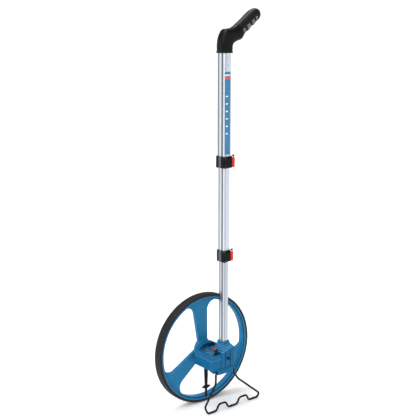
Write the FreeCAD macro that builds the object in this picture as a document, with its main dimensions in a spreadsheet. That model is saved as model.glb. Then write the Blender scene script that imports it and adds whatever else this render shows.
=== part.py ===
import FreeCAD
import Part
import Sketcher
import math
import os
import re
from FreeCAD import Placement, Rotation, Vector

# Measuring wheel: a one-metre wheel with a geared counter, a plumb pointer, a folding wire
# stand and a three-stage telescopic pole.  Millimetres.  The origin is where the tyre touches
# the ground under the axle; +Z is up, the axle lies along Y, the counter housing and the pole
# are on the -Y side, and the grip leans towards +X, where the user walks.

SIZES = {
    # wheel
    "wheel_radius": 159.15, "tyre_width": 27.0, "tyre_bed": 151.0, "tyre_shoulder": 3.0,
    "tyre_rib_depth": 0.7, "tyre_rib_width": 1.4, "tyre_rib_place": 8.6,
    "rim_wall": 3.2, "rim_half": 13.0, "rim_channel": 145.0, "rim_floor_half": 3.0,
    "overlap": 2.0,
    "lip_radius": 142.5, "lip_half": 8.0,
    "spoke_start": 21.0, "spoke_root": 15.8, "spoke_tip": 25.6, "spoke_thickness": 8.0,
    "spoke_count": 3.0, "spoke_turn": 5.0, "rim_corner": 26.0, "hub_corner": 6.0,
    "hub_radius": 27.0, "hub_nose": 24.0, "hub_front": 12.6, "hub_skirt": 5.5,
    "hub_rear_radius": 20.0, "hub_rear": 9.0, "hub_recess": 18.0, "hub_recess_depth": 2.2,
    # axle, bearings and washers
    "axle_radius": 3.95, "axle_far": 17.0, "axle_near": 35.2, "hex_radius": 6.4, "hex_height": 5.0,
    "bearing_outer": 11.0, "bearing_inner": 4.0, "bearing_width": 7.0, "bearing_step": 9.0,
    "front_bearing": 10.4, "washer_radius": 5.6, "washer_thickness": 1.0, "axial_gap": 0.3,
    "cap_radius": 14.0, "cap_inner": 11.6, "cap_depth": 10.5, "cap_wall": 2.0,
    "cap_slope": 4.0,
    # gears of the counter drive
    "gear_outer": 9.6, "gear_root": 7.9, "gear_teeth": 20.0,
    "tooth_foot": 0.75, "tooth_tip": 0.33, "gear_near": 26.0, "gear_far": 21.0,
    "gear_flange": 17.8, "sleeve_radius": 7.0, "sleeve_bore": 4.4,
    # gearbox housing, measured from the axle
    "box_half": 43.5, "box_front": 93.0, "box_back": 17.5, "box_floor": 34.0, "box_split": 5.0,
    "box_top": 11.0, "box_top_front": 6.0, "top_break": 36.0, "box_wall": 3.0, "box_corner": 6.0,
    "edge_round": 2.0, "plate_radius": 24.0, "arch_radius": 49.0, "arch_wall": 4.5, "arch_front": 31.0,
    "arch_x": 6.0, "arch_drop": 22.0, "well_left": 31.0, "well_right": 12.0,
    "boss_radius": 12.0, "boss_bore": 8.0, "boss_face": 13.2, "web_near": 35.0, "web_far": 31.0,
    "web_level": 16.0, "web_neck_left": 8.0, "web_neck_right": 9.0, "web_neck_top": 7.5,
    "web_flare": 3.0,
    "post_radius": 4.0, "post_x": 35.0, "post_back": 26.0, "post_front": 79.0, "post_middle": 47.0,
    "screw_radius": 1.6, "screw_head": 3.4, "screw_head_height": 1.6, "screw_length": 24.0,
    "opening_left": 32.5, "opening_right": 4.5, "opening_back": 33.5, "opening_front": 86.0,
    "fit_gap": 0.3, "screw_slot": 0.9,
    # pole socket
    "pole_x": 14.0, "pole_y": 75.0, "socket_half": 20.0, "socket_right": 23.5, "socket_back": 18.0,
    "socket_nose": 20.5,
    "socket_low_top": 12.0, "socket_high_top": 25.0, "socket_bevel": 4.5, "socket_bevel_drop": 6.0,
    "socket_wall": 1.6, "socket_top": 41.0, "rib_top": 35.0,
    "rib_pitch": 7.6, "rib_thickness": 3.6, "rib_count": 6.0,
    "slot_x": 8.0, "slot_width": 4.2, "slot_depth": 5.0, "slot_top": 10.0, "slot_rise": 6.0,
    "edge_slot_inset": 3.4,
    "edge_slot_width": 1.8, "edge_slot_depth": 1.6, "edge_slot_drop": 4.0,
    "ring_proud": 0.5, "ring_height": 3.5, "ring_drop": 5.0, "spine_half": 2.0, "fin_start": 1.2,
    "knob_radius": 3.6, "knob_height": 4.2, "knob_level": 7.0,
    # pointer
    "pointer_far": 13.7, "pointer_near": 16.6, "pointer_bore": 12.3, "pointer_ring": 17.0,
    "pointer_top_half": 9.5, "pointer_waist_half": 4.6, "pointer_waist": 56.0,
    "pointer_tip_half": 2.2, "pointer_tip": 12.0, "bar_level": 45.0, "bar_half": 14.0,
    "bar_height": 6.5, "bar_proud": 1.2, "pointer_slot": 1.3, "pointer_slot_depth": 1.6,
    # stand
    "wire_radius": 2.8, "hinge_level": 116.0, "hinge_front": 93.5, "foot_front": 89.0,
    "wire_bend": 11.0, "wire_tight_bend": 4.5, "leg_left": 27.0, "leg_right": 37.0,
    "shoulder_left": 63.0, "shoulder_right": 137.0, "foot_rise": 17.5, "hinge_pin": 12.0,
    "hinge_fit": 0.06, "bracket_gap": 0.05,
    "bracket_left": 22.0, "bracket_right": 31.3, "bracket_drop": 14.0, "bracket_back": 88.0,
    "bracket_front": 97.5, "wing_front": 90.5, "wing_drop": 10.0, "wing_left": 33.0,
    # telescopic pole
    "upper_size": 27.0, "middle_size": 23.4, "lower_size": 19.8, "tube_wall": 1.5,
    "tube_round": 4.0, "groove_width": 4.6, "groove_depth": 0.8, "groove_offset": 0.28,
    "lower_bottom": 132.0, "lower_top": 497.0, "middle_bottom": 436.0, "middle_top": 737.0,
    "upper_bottom": 694.0, "upper_top": 990.0, "guide_cap": 4.0, "guide_plug": 14.0,
    "guide_play": 0.12, "plug_play": 0.02, "plug_flat": 0.8,
    # clamps
    "clamp_height": 31.0, "clamp_below": 8.0, "clamp_wall": 3.2, "clamp_round": 5.0,
    "clamp_play": 0.35, "clamp_slit": 10.0, "slit_shift": 1.3, "ear_height": 3.6,
    "ear_left": 15.5, "ear_right": 8.0, "ear_proud": 2.6, "ear_inset": 0.5, "ear_drop": 1.0,
    "pin_x": 12.0, "pin_out": 3.2, "pin_radius": 1.3, "knuckle_radius": 2.8, "pin_play": 0.06,
    "lever_inset": 4.9, "lever_inner": 0.7, "lever_outer": 4.1, "lever_crown": 0.5,
    "tip_joint": 0.4, "tip_root": 1.2, "tip_length": 11.0, "tip_inset": 2.0, "tip_thickness": 4.8,
    "pad_half": 6.0, "pad_depth": 2.6, "pad_edge": 1.2,
    "clamp_screw_radius": 2.2, "clamp_screw_height": 1.2, "clamp_screw_inset": 5.0,
    # label and rivets
    "label_bottom": 722.0, "label_top": 939.0, "label_width": 19.0, "label_depth": 0.5,
    "label_thickness": 0.4, "label_sink": 0.05, "rivet_low": 956.0, "rivet_high": 976.0,
    "rivet_radius": 2.3, "rivet_height": 1.3,
    # grip
    "grip_bottom": 987.0, "grip_size": 33.0, "flange_extra": 1.2, "flange_height": 4.0,
    "grip_corner": 9.0, "plug_length": 24.0, "elbow_size": 34.5, "grip_lean": 34.0, "grip_start_x": 46.0,
    "grip_start_z": 1036.0, "grip_length": 98.0, "core_radius": 10.5, "core_length": 84.0, "core_root": 14.0,
    "grip_depth": 36.0, "grip_breadth": 32.0,
    # counter
    "counter_reach": 18.0, "case_back": 37.0, "case_front": 79.5, "case_wall": 1.5,
    "case_left": 12.0, "case_right": 11.5, "case_bottom": 15.8, "case_shoulder": 4.5,
    "case_top": 13.0, "case_top_left": 2.5, "case_bevel": 2.5, "window_inset": 2.6,
    "window_gap": 0.05,
    "drum_radius": 9.2, "drum_width": 5.6, "drum_pitch": 7.6, "drum_first": 43.1,
    "ring_outer": 7.55, "ring_root": 6.45, "ring_width": 1.4, "ring_teeth": 20.0,
    "shaft_radius": 2.0, "shaft_play": 0.05, "sleeve_outer": 3.4, "case_bore": 4.0,
    "shaft_far": 18.5, "shaft_near": 86.0, "idler_drop": 10.3, "idler_outer": 3.3,
    "idler_root": 2.1, "idler_teeth": 8.0, "idler_bore": 1.05, "idler_shaft": 1.0,
    "idler_tooth": 0.42, "ring_tooth": 0.42,
    "lever_hub": 4.6, "lever_back": 80.3, "lever_front": 84.6, "lever_arm": 3.0,
    "lever_top": 20.5, "thumb_half": 5.0, "thumb_height": 5.5,
}
COLUMN = "B"
DRUMS = 5
NEAR = 0.5        # how close to a known edge an edge has to lie to be picked for a fillet
PAST = 1          # how far a cutting tool starts outside the solid that it cuts

os.makedirs("parts", exist_ok=True)
doc = FreeCAD.newDocument("measuring_wheel")
sheet = doc.addObject("Spreadsheet::Sheet", "sizes")
for row, (alias, number) in enumerate(SIZES.items(), start=1):
    sheet.set(f"A{row}", alias)
    sheet.set(f"{COLUMN}{row}", str(number))
    sheet.setAlias(f"{COLUMN}{row}", alias)
doc.recompute()

ALIAS = re.compile(r"\b(" + "|".join(SIZES) + r")\b")
PARTS = []


def cells(text):
    """The expression with every alias read from the sheet."""
    return ALIAS.sub(r"sizes.\1", str(text))


def size(alias):
    """The number in one cell, for shapes that Part's own functions make."""
    return float(getattr(sheet, alias))


def bind(item, **expressions):
    for name, text in expressions.items():
        item.setExpression(name, cells(text))
    return item


def seat(item, x="0", y="0", z="0"):
    """Place an object's own origin at a point given in sheet expressions."""
    for axis, text in zip("xyz", (x, y, z)):
        item.setExpression(f"Placement.Base.{axis}", cells(text))
    return item


def keep(item, x="0", y="0", z="0"):
    """Seat a finished sub-part and list it for export under its own label."""
    seat(item, x, y, z)
    PARTS.append(item)
    return item


# ---- Part primitives ----

ALONG = {"x": Rotation(Vector(0, 1, 0), 90), "y": Rotation(Vector(1, 0, 0), -90), "z": Rotation()}


def block(name, x, y, z):
    """A box between two corners; x, y and z are (low, high) expressions."""
    box = doc.addObject("Part::Box", name)
    for side, (low, high) in zip(("Length", "Width", "Height"), (x, y, z)):
        box.setExpression(side, cells(f"({high}) - ({low})"))
    return seat(box, x[0], y[0], z[0])


def rod(name, radius, axis, start, length, x="0", y="0", z="0"):
    """A cylinder along one axis, from start for length, with its axis through x, y, z."""
    cylinder = doc.addObject("Part::Cylinder", name)
    bind(cylinder, Radius=radius, Height=length)
    cylinder.Placement = Placement(Vector(), ALONG[axis])
    place = {"x": x, "y": y, "z": z}
    place[axis] = start
    return seat(cylinder, **place)


def hexagon(name, radius, start, height):
    """A hexagonal head or nut along Y on the axle's line."""
    prism = doc.addObject("Part::Prism", name)
    prism.Polygon = 6
    bind(prism, Circumradius=radius, Height=height)
    prism.Placement = Placement(Vector(), ALONG["y"])
    return seat(prism, y=start)


def fuse(name, *items):
    union = doc.addObject("Part::MultiFuse", name)
    union.Shapes = list(items)
    return union


def cut(name, base, *tools):
    result = doc.addObject("Part::Cut", name)
    result.Base = base
    result.Tool = tools[0] if len(tools) == 1 else fuse(name + "_tools", *tools)
    return result


def group(name, *items):
    """Separate like pieces in one node."""
    compound = doc.addObject("Part::Compound", name)
    compound.Links = list(items)
    return compound


def solid(name, shape):
    feature = doc.addObject("Part::Feature", name)
    feature.Shape = shape
    return feature


# ---- PartDesign helpers ----

def new_body(name):
    return doc.addObject("PartDesign::Body", name)


def new_sketch(body, name, role, offset):
    sketch = body.newObject("Sketcher::SketchObject", name)
    plane = next(feature for feature in body.Origin.OriginFeatures if feature.Role == role)
    sketch.AttachmentSupport = [(plane, "")]
    sketch.MapMode = "FlatFace"
    sketch.setExpression("AttachmentOffset.Base.z", cells(offset))
    return sketch


def pin_point(sketch, geometry, spot, x, y, guess):
    """Fix a sketch point at two sheet expressions measured from the sketch's origin."""
    for kind, text, start in (("DistanceX", x, guess.x), ("DistanceY", y, guess.y)):
        index = sketch.addConstraint(Sketcher.Constraint(kind, -1, 1, geometry, spot, start))
        sketch.setExpression(f"Constraints[{index}]", cells(text))


def outline(body, name, role, points, offset="0"):
    """A closed outline of straight lines; each point is a pair of sheet expressions."""
    sketch = new_sketch(body, name, role, offset)
    count = len(points)
    turn = 2 * math.pi / count
    guess = [Vector(10 * math.cos(turn * i), 10 * math.sin(turn * i), 0) for i in range(count)]
    sketch.addGeometry([Part.LineSegment(guess[i], guess[(i + 1) % count]) for i in range(count)], False)
    for i, (x, y) in enumerate(points):
        sketch.addConstraint(Sketcher.Constraint("Coincident", i, 2, (i + 1) % count, 1))
        pin_point(sketch, i, 1, x, y, guess[i])
    return sketch


def rectangle(body, name, role, low, high, offset="0"):
    corners = [(low[0], low[1]), (high[0], low[1]), (high[0], high[1]), (low[0], high[1])]
    return outline(body, name, role, corners, offset)


def circles(body, name, role, rings, offset="0"):
    """Circles given as (x, y, radius) expressions."""
    sketch = new_sketch(body, name, role, offset)
    for i, (x, y, radius) in enumerate(rings):
        sketch.addGeometry(Part.Circle(Vector(), Vector(0, 0, 1), 1.0 + i), False)
        pin_point(sketch, i, 3, x, y, Vector())
        index = sketch.addConstraint(Sketcher.Constraint("Radius", i, 1.0 + i))
        sketch.setExpression(f"Constraints[{index}]", cells(radius))
    return sketch


def feature_on(body, kind, name, sketch, way, **expressions):
    item = body.newObject(kind, name)
    item.Profile = sketch
    if way == "both":
        item.SideType = "Symmetric"
    item.Reversed = way == "back"
    return bind(item, **expressions)


def pad(body, name, sketch, length, way="ahead"):
    return feature_on(body, "PartDesign::Pad", name, sketch, way, Length=length)


def pocket(body, name, sketch, length, way="ahead"):
    """A pocket that has to remove something, whichever way it points."""
    doc.recompute()
    before = body.Tip.Shape.Volume
    item = feature_on(body, "PartDesign::Pocket", name, sketch, way, Length=length)
    doc.recompute()
    if item.Shape.isNull() or item.Shape.Volume > before - 1e-3:
        raise RuntimeError(f"{body.Name}.{name} cuts nothing")
    return item


def revolve(body, name, sketch, kind="PartDesign::Revolution"):
    """A full turn about the sketch's horizontal axis."""
    item = body.newObject(kind, name)
    item.Profile = sketch
    item.ReferenceAxis = (sketch, ["H_Axis"])
    item.Angle = 360
    return item


def spin_copies(body, name, original, sketch, count):
    """Copies of one feature about the axis through the sketch's origin."""
    pattern = body.newObject("PartDesign::PolarPattern", name)
    pattern.Originals = [original]
    pattern.Axis = (sketch, ["N_Axis"])
    pattern.Angle = 360
    bind(pattern, Occurrences=count)
    body.Tip = pattern
    return pattern


def round_edges(body, name, test, radius):
    """Fillet the edges of the body's last feature that pass the test."""
    doc.recompute()
    last = body.Tip
    names = [f"Edge{i}" for i, edge in enumerate(last.Shape.Edges, start=1) if test(edge)]
    fillet = body.newObject("PartDesign::Fillet", name)
    fillet.Base = (last, names)
    bind(fillet, Radius=radius)
    body.Tip = fillet
    return fillet


def runs_along(edge, direction):
    """True for a straight edge in that direction."""
    return edge.Curve.TypeId == "Part::GeomLine" and abs(edge.Curve.Direction.dot(direction)) > 0.999


def middle(edge):
    return edge.BoundBox.Center


# ---- the wheel, about its own axle ----

def wheel_rim():
    body = new_body("wheel_rim")
    hub = outline(body, "hub_profile", "YZ_Plane", [
        ("-hub_front", "hub_recess"), ("-hub_front", "hub_nose"), ("-hub_skirt", "hub_radius"),
        ("hub_skirt", "hub_radius"), ("hub_rear", "hub_rear_radius"), ("hub_rear", "bearing_outer"),
        ("hub_rear - bearing_width", "bearing_outer"), ("hub_rear - bearing_width", "bearing_step"),
        ("bearing_width - front_bearing", "bearing_step"), ("bearing_width - front_bearing", "bearing_outer"),
        ("hub_recess_depth - hub_front", "bearing_outer"), ("hub_recess_depth - hub_front", "hub_recess")])
    revolve(body, "hub", hub)
    spoke = outline(body, "spoke_profile", "XZ_Plane", [
        ("spoke_start", "-spoke_root"), ("spoke_start", "spoke_root"),
        ("lip_radius + overlap", "spoke_tip"), ("lip_radius + overlap", "-spoke_tip")])
    first = pad(body, "spoke", spoke, "spoke_thickness", "both")
    spin_copies(body, "spokes", first, spoke, "spoke_count")
    rim = outline(body, "rim_profile", "YZ_Plane", [
        ("-lip_half", "lip_radius"), ("-lip_half", "rim_channel"), ("-rim_floor_half", "rim_channel"),
        ("-rim_floor_half", "tyre_bed - rim_wall"), ("-rim_half", "tyre_bed - rim_wall"),
        ("-rim_half", "tyre_bed"), ("rim_half", "tyre_bed"), ("rim_half", "tyre_bed - rim_wall"),
        ("rim_floor_half", "tyre_bed - rim_wall"), ("rim_floor_half", "rim_channel"),
        ("lip_half", "rim_channel"), ("lip_half", "lip_radius")])
    revolve(body, "rim", rim)
    for name, radius, corner in (("rim_corners", size("lip_radius"), "rim_corner"),
                                 ("hub_corners", size("hub_radius"), "hub_corner")):
        def spoke_corner(edge, radius=radius):
            point = edge.Vertexes[0].Point
            near = abs(math.hypot(point.x, point.z) - radius) < NEAR
            return runs_along(edge, Vector(0, 1, 0)) and near and edge.Length < size("spoke_thickness") + NEAR
        round_edges(body, name, spoke_corner, corner)
    body.Placement = Placement(Vector(), Rotation(Vector(0, 1, 0), -(90 + size("spoke_turn"))))
    return keep(body, z="wheel_radius")


def tyre():
    body = new_body("tyre")
    half = "tyre_width / 2"
    rib = ("tyre_rib_place - tyre_rib_width / 2", "tyre_rib_place + tyre_rib_width / 2")
    low = "wheel_radius - tyre_rib_depth"
    profile = outline(body, "tyre_profile", "YZ_Plane", [
        (f"-{half}", "tyre_bed"), (f"-{half}", "wheel_radius - tyre_shoulder"),
        (f"tyre_shoulder * 0.75 - {half}", "wheel_radius - tyre_shoulder * 0.15"),
        (f"-({rib[1]})", "wheel_radius"), (f"-({rib[1]}) + 0.2", low), (f"-({rib[0]})", low),
        (f"-({rib[0]}) + 0.2", "wheel_radius"), (f"{rib[0]} - 0.2", "wheel_radius"),
        (rib[0], low), (f"{rib[1]} - 0.2", low), (rib[1], "wheel_radius"),
        (f"{half} - tyre_shoulder * 0.75", "wheel_radius - tyre_shoulder * 0.15"),
        (half, "wheel_radius - tyre_shoulder"), (half, "tyre_bed")])
    revolve(body, "tread", profile)
    return keep(body, z="wheel_radius")


def wheel_bearings():
    rings = []
    for name, start in (("rear_bearing", "hub_rear - bearing_width"), ("front_bearing", "-front_bearing")):
        outer = rod(name + "_outer", "bearing_outer", "y", start, "bearing_width")
        bore = rod(name + "_bore", "bearing_inner", "y", start, "bearing_width")
        rings.append(cut(name, outer, bore))
    return keep(group("wheel_bearings", *rings), z="wheel_radius")


def toothed(body, name, teeth, root, outer, foot, tip, far, near):
    """A spur gear on the body: a root cylinder and one padded tooth copied round it."""
    width = f"{near} - ({far})"
    blank = circles(body, name + "_blank", "XZ_Plane", [("0", "0", root)], far)
    pad(body, name + "_rim", blank, width)
    tooth = outline(body, name + "_tooth_profile", "XZ_Plane", [
        (f"{root} - 0.4", f"-{foot}"), (f"{root} - 0.4", foot), (outer, tip), (outer, f"-{tip}")], far)
    first = pad(body, name + "_tooth", tooth, width)
    return spin_copies(body, name + "_teeth", first, tooth, teeth)


def bored(body, name, radius, far, near):
    """Bore the body along Y on its own axis."""
    hole = circles(body, name, "XZ_Plane", [("0", "0", radius)], f"{far} - 1")
    return pocket(body, name + "_cut", hole, f"{near} - ({far}) + 2", "back")


def drive_gear():
    body = new_body("drive_gear")
    flange_far = "hub_front - hub_recess_depth"
    flange = circles(body, "flange_edge", "XZ_Plane", [("0", "0", "gear_flange")], flange_far)
    pad(body, "flange", flange, "hub_recess_depth")
    sleeve = circles(body, "sleeve_edge", "XZ_Plane", [("0", "0", "sleeve_radius")], flange_far)
    pad(body, "sleeve", sleeve, f"gear_near - ({flange_far})")
    toothed(body, "drive", "gear_teeth", "gear_root", "gear_outer", "tooth_foot", "tooth_tip",
            "gear_far", "gear_near")
    bored(body, "bore", "sleeve_bore", flange_far, "gear_near")
    return keep(body, z="wheel_radius")


def hub_cap():
    shell = rod("cap_shell", "cap_radius", "y", "hub_rear", "cap_depth")
    hollow = rod("cap_hollow", "cap_inner", "y", "hub_rear", "cap_depth - cap_wall")
    dome = doc.addObject("Part::Cone", "cap_dome")
    bind(dome, Radius1="cap_radius", Radius2="cap_radius - cap_slope", Height="cap_wall")
    dome.Placement = Placement(Vector(), ALONG["y"])
    seat(dome, y="hub_rear + cap_depth")
    return keep(fuse("hub_cap", cut("cap_cup", shell, hollow), dome), z="wheel_radius")


# ---- axle ----

def axle():
    shank = rod("axle_shank", "axle_radius", "y", "-axle_near", "axle_near + axle_far")
    head = hexagon("axle_head", "hex_radius", "-axle_near - hex_height", "hex_height")
    return keep(fuse("axle", shank, head), z="wheel_radius")


def axle_nut():
    start = "hub_rear + 2 * axial_gap + washer_thickness"
    nut = hexagon("nut_blank", "hex_radius", start, "hex_height")
    thread = rod("nut_thread", "axle_radius + shaft_play", "y", start, "hex_height")
    return keep(cut("axle_nut", nut, thread), z="wheel_radius")


def axle_washer():
    disc = rod("washer_disc", "washer_radius", "y", "hub_rear + axial_gap", "washer_thickness")
    hole = rod("washer_hole", "axle_radius + shaft_play", "y", "hub_rear + axial_gap", "washer_thickness")
    return keep(cut("axle_washer", disc, hole), z="wheel_radius")


# ---- gearbox housing, measured from the axle ----

SCREW_PLACES = (("-post_x", "-post_back"), ("post_x", "-post_back"),
                ("-post_x", "-post_front"), ("post_x", "-post_middle"))


def socket_notch(body, name, floor, length):
    """Room for the pole socket's base in a housing shell."""
    notch = rectangle(body, name, "XY_Plane",
                      ("pole_x - socket_half - fit_gap", "-box_front - 5"),
                      ("pole_x + socket_right + fit_gap", "socket_back + fit_gap - pole_y"), floor)
    return pocket(body, name + "_cut", notch, length, "back")


def gearbox_base():
    body = new_body("gearbox_base")
    height = "box_floor - box_split"
    floor = rectangle(body, "base_outline", "XY_Plane", ("-box_half", "-box_front"),
                      ("box_half", "-box_back"), "-box_floor")
    pad(body, "base_block", floor, height)
    round_edges(body, "base_corners", lambda edge: runs_along(edge, Vector(0, 0, 1))
                and middle(edge).y < -size("box_front") + 1, "box_corner")
    round_edges(body, "base_bottom", lambda edge: middle(edge).z < 0.5 - size("box_floor")
                and middle(edge).y < -size("box_back") - 1, "edge_round")
    inside = rectangle(body, "base_inside", "XY_Plane", ("box_wall - box_half", "box_wall - box_front"),
                       ("box_half - box_wall", "-box_back - box_wall"), "box_wall - box_floor")
    pocket(body, "base_hollow", inside, height, "back")
    disc = circles(body, "back_disc", "XZ_Plane", [("0", "0", "plate_radius")], "box_back")
    pad(body, "back_plate", disc, "box_wall")
    boss = circles(body, "boss_edge", "XZ_Plane", [("0", "0", "boss_radius")], "boss_face")
    pad(body, "pointer_boss", boss, "box_back - boss_face + 1")
    inner = "box_half - box_wall + 0.5"
    web = outline(body, "web_outline", "XZ_Plane", [
        (f"-({inner})", "overlap - box_floor"), (inner, "overlap - box_floor"), (inner, "-box_split"),
        ("web_neck_right + web_flare", "-box_split"), ("web_neck_right", "web_neck_top"),
        ("-web_neck_left", "web_neck_top"), ("-web_neck_left - overlap", "-web_level"),
        (f"-({inner})", "-web_level")], "web_far")
    pad(body, "axle_web", web, "web_near - web_far")
    posts = circles(body, "post_edges", "XY_Plane", [(x, y, "post_radius") for x, y in SCREW_PLACES],
                    "1 - box_floor")
    pad(body, "screw_posts", posts, f"{height} - 1")
    socket_notch(body, "base_notch", "box_wall - box_floor", height)
    bore = circles(body, "boss_hole", "XZ_Plane", [("0", "0", "boss_bore")], "boss_face - 1")
    pocket(body, "boss_hole_cut", bore, "box_back + box_wall - boss_face + 2", "back")
    hole = circles(body, "axle_hole", "XZ_Plane", [("0", "0", "axle_radius + shaft_play")], "web_far - 1")
    pocket(body, "axle_hole_cut", hole, "web_near - web_far + 2", "back")
    seat_hole = circles(body, "shaft_seat", "XZ_Plane",
                        [("-counter_reach", "0", "shaft_radius")], "shaft_far")
    pocket(body, "shaft_seat_cut", seat_hole, "box_wall", "back")
    screws = circles(body, "screw_holes", "XY_Plane", [(x, y, "screw_radius") for x, y in SCREW_PLACES],
                     "-box_floor - 1")
    pocket(body, "screw_holes_cut", screws, "screw_length + 1", "back")
    return keep(body, z="wheel_radius")


def cover_arch():
    """The hood over the drive at the cover's back: an arched wall closed behind by a plate."""
    reach = "arch_front - box_back"
    blank = rod("arch_blank", "arch_radius", "y", "-arch_front", reach, "-arch_x", z="-arch_drop")
    hollow = rod("arch_hollow", "arch_radius - arch_wall", "y", "-arch_front - 1",
                 f"{reach} - box_wall + 1", "-arch_x", z="-arch_drop")
    above = block("arch_room", ("-box_half", "box_half"), ("-arch_front - 2", "0"),
                  ("box_top - box_wall", "arch_radius"))
    arch = doc.addObject("Part::Common", "cover_arch")
    arch.Base = cut("arch_ring", blank, hollow)
    arch.Tool = above
    return arch


def gearbox_cover():
    body = new_body("cover_shell")
    side = outline(body, "cover_side", "YZ_Plane", [
        ("-box_back", "-box_split"), ("-box_back", "box_top"), ("-top_break", "box_top"),
        ("-box_front", "box_top_front"), ("-box_front", "-box_split")])
    pad(body, "cover_block", side, "2 * box_half", "both")
    round_edges(body, "cover_corners", lambda edge: runs_along(edge, Vector(0, 0, 1))
                and middle(edge).y < -size("box_front") + 1, "box_corner")
    round_edges(body, "cover_rim", lambda edge: middle(edge).z > size("box_split")
                and middle(edge).y < -size("box_back") - 1
                and not runs_along(edge, Vector(1, 0, 0)) or middle(edge).y < 1 - size("box_front")
                and middle(edge).z > size("box_split"), "edge_round")
    hollow = outline(body, "cover_inside", "YZ_Plane", [
        ("-box_back - box_wall", "-box_split - 1"), ("-box_back - box_wall", "box_top - box_wall"),
        ("-top_break", "box_top - box_wall"), ("box_wall - box_front", "box_top_front - box_wall"),
        ("box_wall - box_front", "-box_split - 1")])
    pocket(body, "cover_hollow", hollow, "2 * (box_half - box_wall)", "both")
    window = rectangle(body, "counter_opening", "XY_Plane", ("-opening_left", "-opening_front"),
                       ("-opening_right", "-opening_back"), "-box_split - 1")
    pocket(body, "counter_opening_cut", window, "box_top + box_split + 2", "back")
    socket_notch(body, "cover_notch", "-box_split - 1", "box_top + box_split + 2")
    plate_room = rod("plate_room", "plate_radius + fit_gap / 3", "y", "-box_back - box_wall - fit_gap",
                     "box_wall + fit_gap + 1")
    well = block("arch_well", ("-well_left", "well_right"), ("-arch_front", "-box_back - box_wall"),
                 ("box_top - box_wall - 1", "box_top + 1"))
    whole = fuse("cover_with_arch", body, cover_arch())
    return keep(cut("gearbox_cover", whole, plate_room, well), z="wheel_radius")


def housing_screws():
    screws = []
    for i, (x, y) in enumerate(SCREW_PLACES):
        head = rod(f"screw_head_{i}", "screw_head", "z", "-box_floor - screw_head_height",
                   "screw_head_height", x, y)
        shank = rod(f"screw_shank_{i}", "screw_radius - shaft_play", "z", "-box_floor",
                    "screw_length - 2", x, y)
        slot = block(f"screw_slot_{i}", (f"{x} - screw_head", f"{x} + screw_head"),
                     (f"{y} - screw_slot / 2", f"{y} + screw_slot / 2"),
                     ("-box_floor - screw_head_height", "-box_floor - screw_head_height / 2"))
        screws.append(cut(f"screw_{i}", fuse(f"screw_body_{i}", head, shank), slot))
    return keep(group("housing_screws", *screws), z="wheel_radius")


# ---- pole socket, measured from the pole's axis at axle level ----

def rib_skirt(name, half):
    """A four-sided skirt that rises from the base's sloping top to a square round the tube."""
    low_z, high_z = size("socket_low_top") - PAST, size("socket_high_top") - PAST
    left, right = -size("socket_half"), size("socket_right") - size("socket_bevel")
    front, back = -size("socket_nose"), size("socket_back")
    low = Part.makePolygon([Vector(left, front, low_z), Vector(right, front, high_z),
                            Vector(right, back, high_z), Vector(left, back, low_z),
                            Vector(left, front, low_z)])
    level = size("rib_top")
    high = Part.makePolygon([Vector(-half, -half, level), Vector(half, -half, level),
                             Vector(half, half, level), Vector(-half, half, level),
                             Vector(-half, -half, level)])
    return solid(name, Part.makeLoft([low, high], True, True))


def socket_base():
    """The socket's block in the housing, with a top that slopes down to the counter's side."""
    body = new_body("socket_base")
    low = "box_wall - box_floor"
    front = outline(body, "base_front", "XZ_Plane", [
        ("-socket_half", low), ("-socket_half", "socket_low_top"),
        ("socket_right - socket_bevel", "socket_high_top"),
        ("socket_right", "socket_high_top - socket_bevel_drop"), ("socket_right", low)], "-socket_back")
    pad(body, "base_front_pad", front, "socket_back + socket_nose")
    return body


def pole_socket():
    column_half = "lower_size / 2 + socket_wall"
    back = "socket_back"
    column = block("socket_column", (f"-({column_half})", column_half),
                   (f"-({column_half})", column_half), ("box_wall - box_floor", "socket_top"))
    skirt = rib_skirt("rib_skirt", size("lower_size") / 2 + size("socket_wall") + NEAR)
    first = "fin_start - socket_nose"
    fins = []
    for i in range(int(size("rib_count"))):
        low = f"{first} + {i} * rib_pitch"
        fins.append(block(f"rib_fin_{i}", ("-socket_half - 1", "socket_right + 1"),
                          (low, f"{low} + rib_thickness"), ("0", "rib_top + 1")))
    for side, sign in (("left", "-1"), ("right", "1")):
        spine = f"{sign} * ({column_half})"
        fins.append(block(f"rib_spine_{side}", (f"{spine} - spine_half", f"{spine} + spine_half"),
                          ("-socket_nose", back), ("0", "rib_top + 1")))
    ribs = doc.addObject("Part::Common", "socket_ribs")
    ribs.Base = skirt
    ribs.Tool = fuse("rib_fins", *fins)
    ring_half = f"{column_half} + ring_proud"
    ring = block("socket_ring", (f"-({ring_half})", ring_half), (f"-({ring_half})", ring_half),
                 ("socket_top - ring_drop", "socket_top - ring_drop + ring_height"))
    whole = fuse("socket_whole", column, socket_base(), ribs, ring)
    hole_half = "lower_size / 2 + shaft_play"
    tools = [block("tube_hole", (f"-({hole_half})", hole_half), (f"-({hole_half})", hole_half),
                   ("lower_bottom - wheel_radius", "socket_top + 1"))]
    for side, sign, rise in (("left", "-1", "0"), ("right", "1", "slot_rise")):
        centre = f"{sign} * slot_x"
        tools.append(block(f"slot_{side}", (f"{centre} - slot_width / 2", f"{centre} + slot_width / 2"),
                           ("-socket_nose - 1", "slot_depth - socket_nose"),
                           ("box_wall - box_floor - 1", f"slot_top + {rise}")))
        edge = f"{sign} * (socket_half - edge_slot_inset)"
        half_slot = "edge_slot_width / 2"
        tools.append(block(f"edge_slot_{side}", (f"{edge} - {half_slot}", f"{edge} + {half_slot}"),
                           ("-socket_nose - 1", "edge_slot_depth - socket_nose"),
                           ("box_wall - box_floor - 1", f"slot_top - edge_slot_drop + {rise}")))
    tools.append(rod("knob_hole", "screw_radius + shaft_play", "y", "-socket_nose - 1", "8",
                     z="-knob_level"))
    return keep(cut("pole_socket", whole, *tools), "pole_x", "-pole_y", "wheel_radius")


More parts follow.
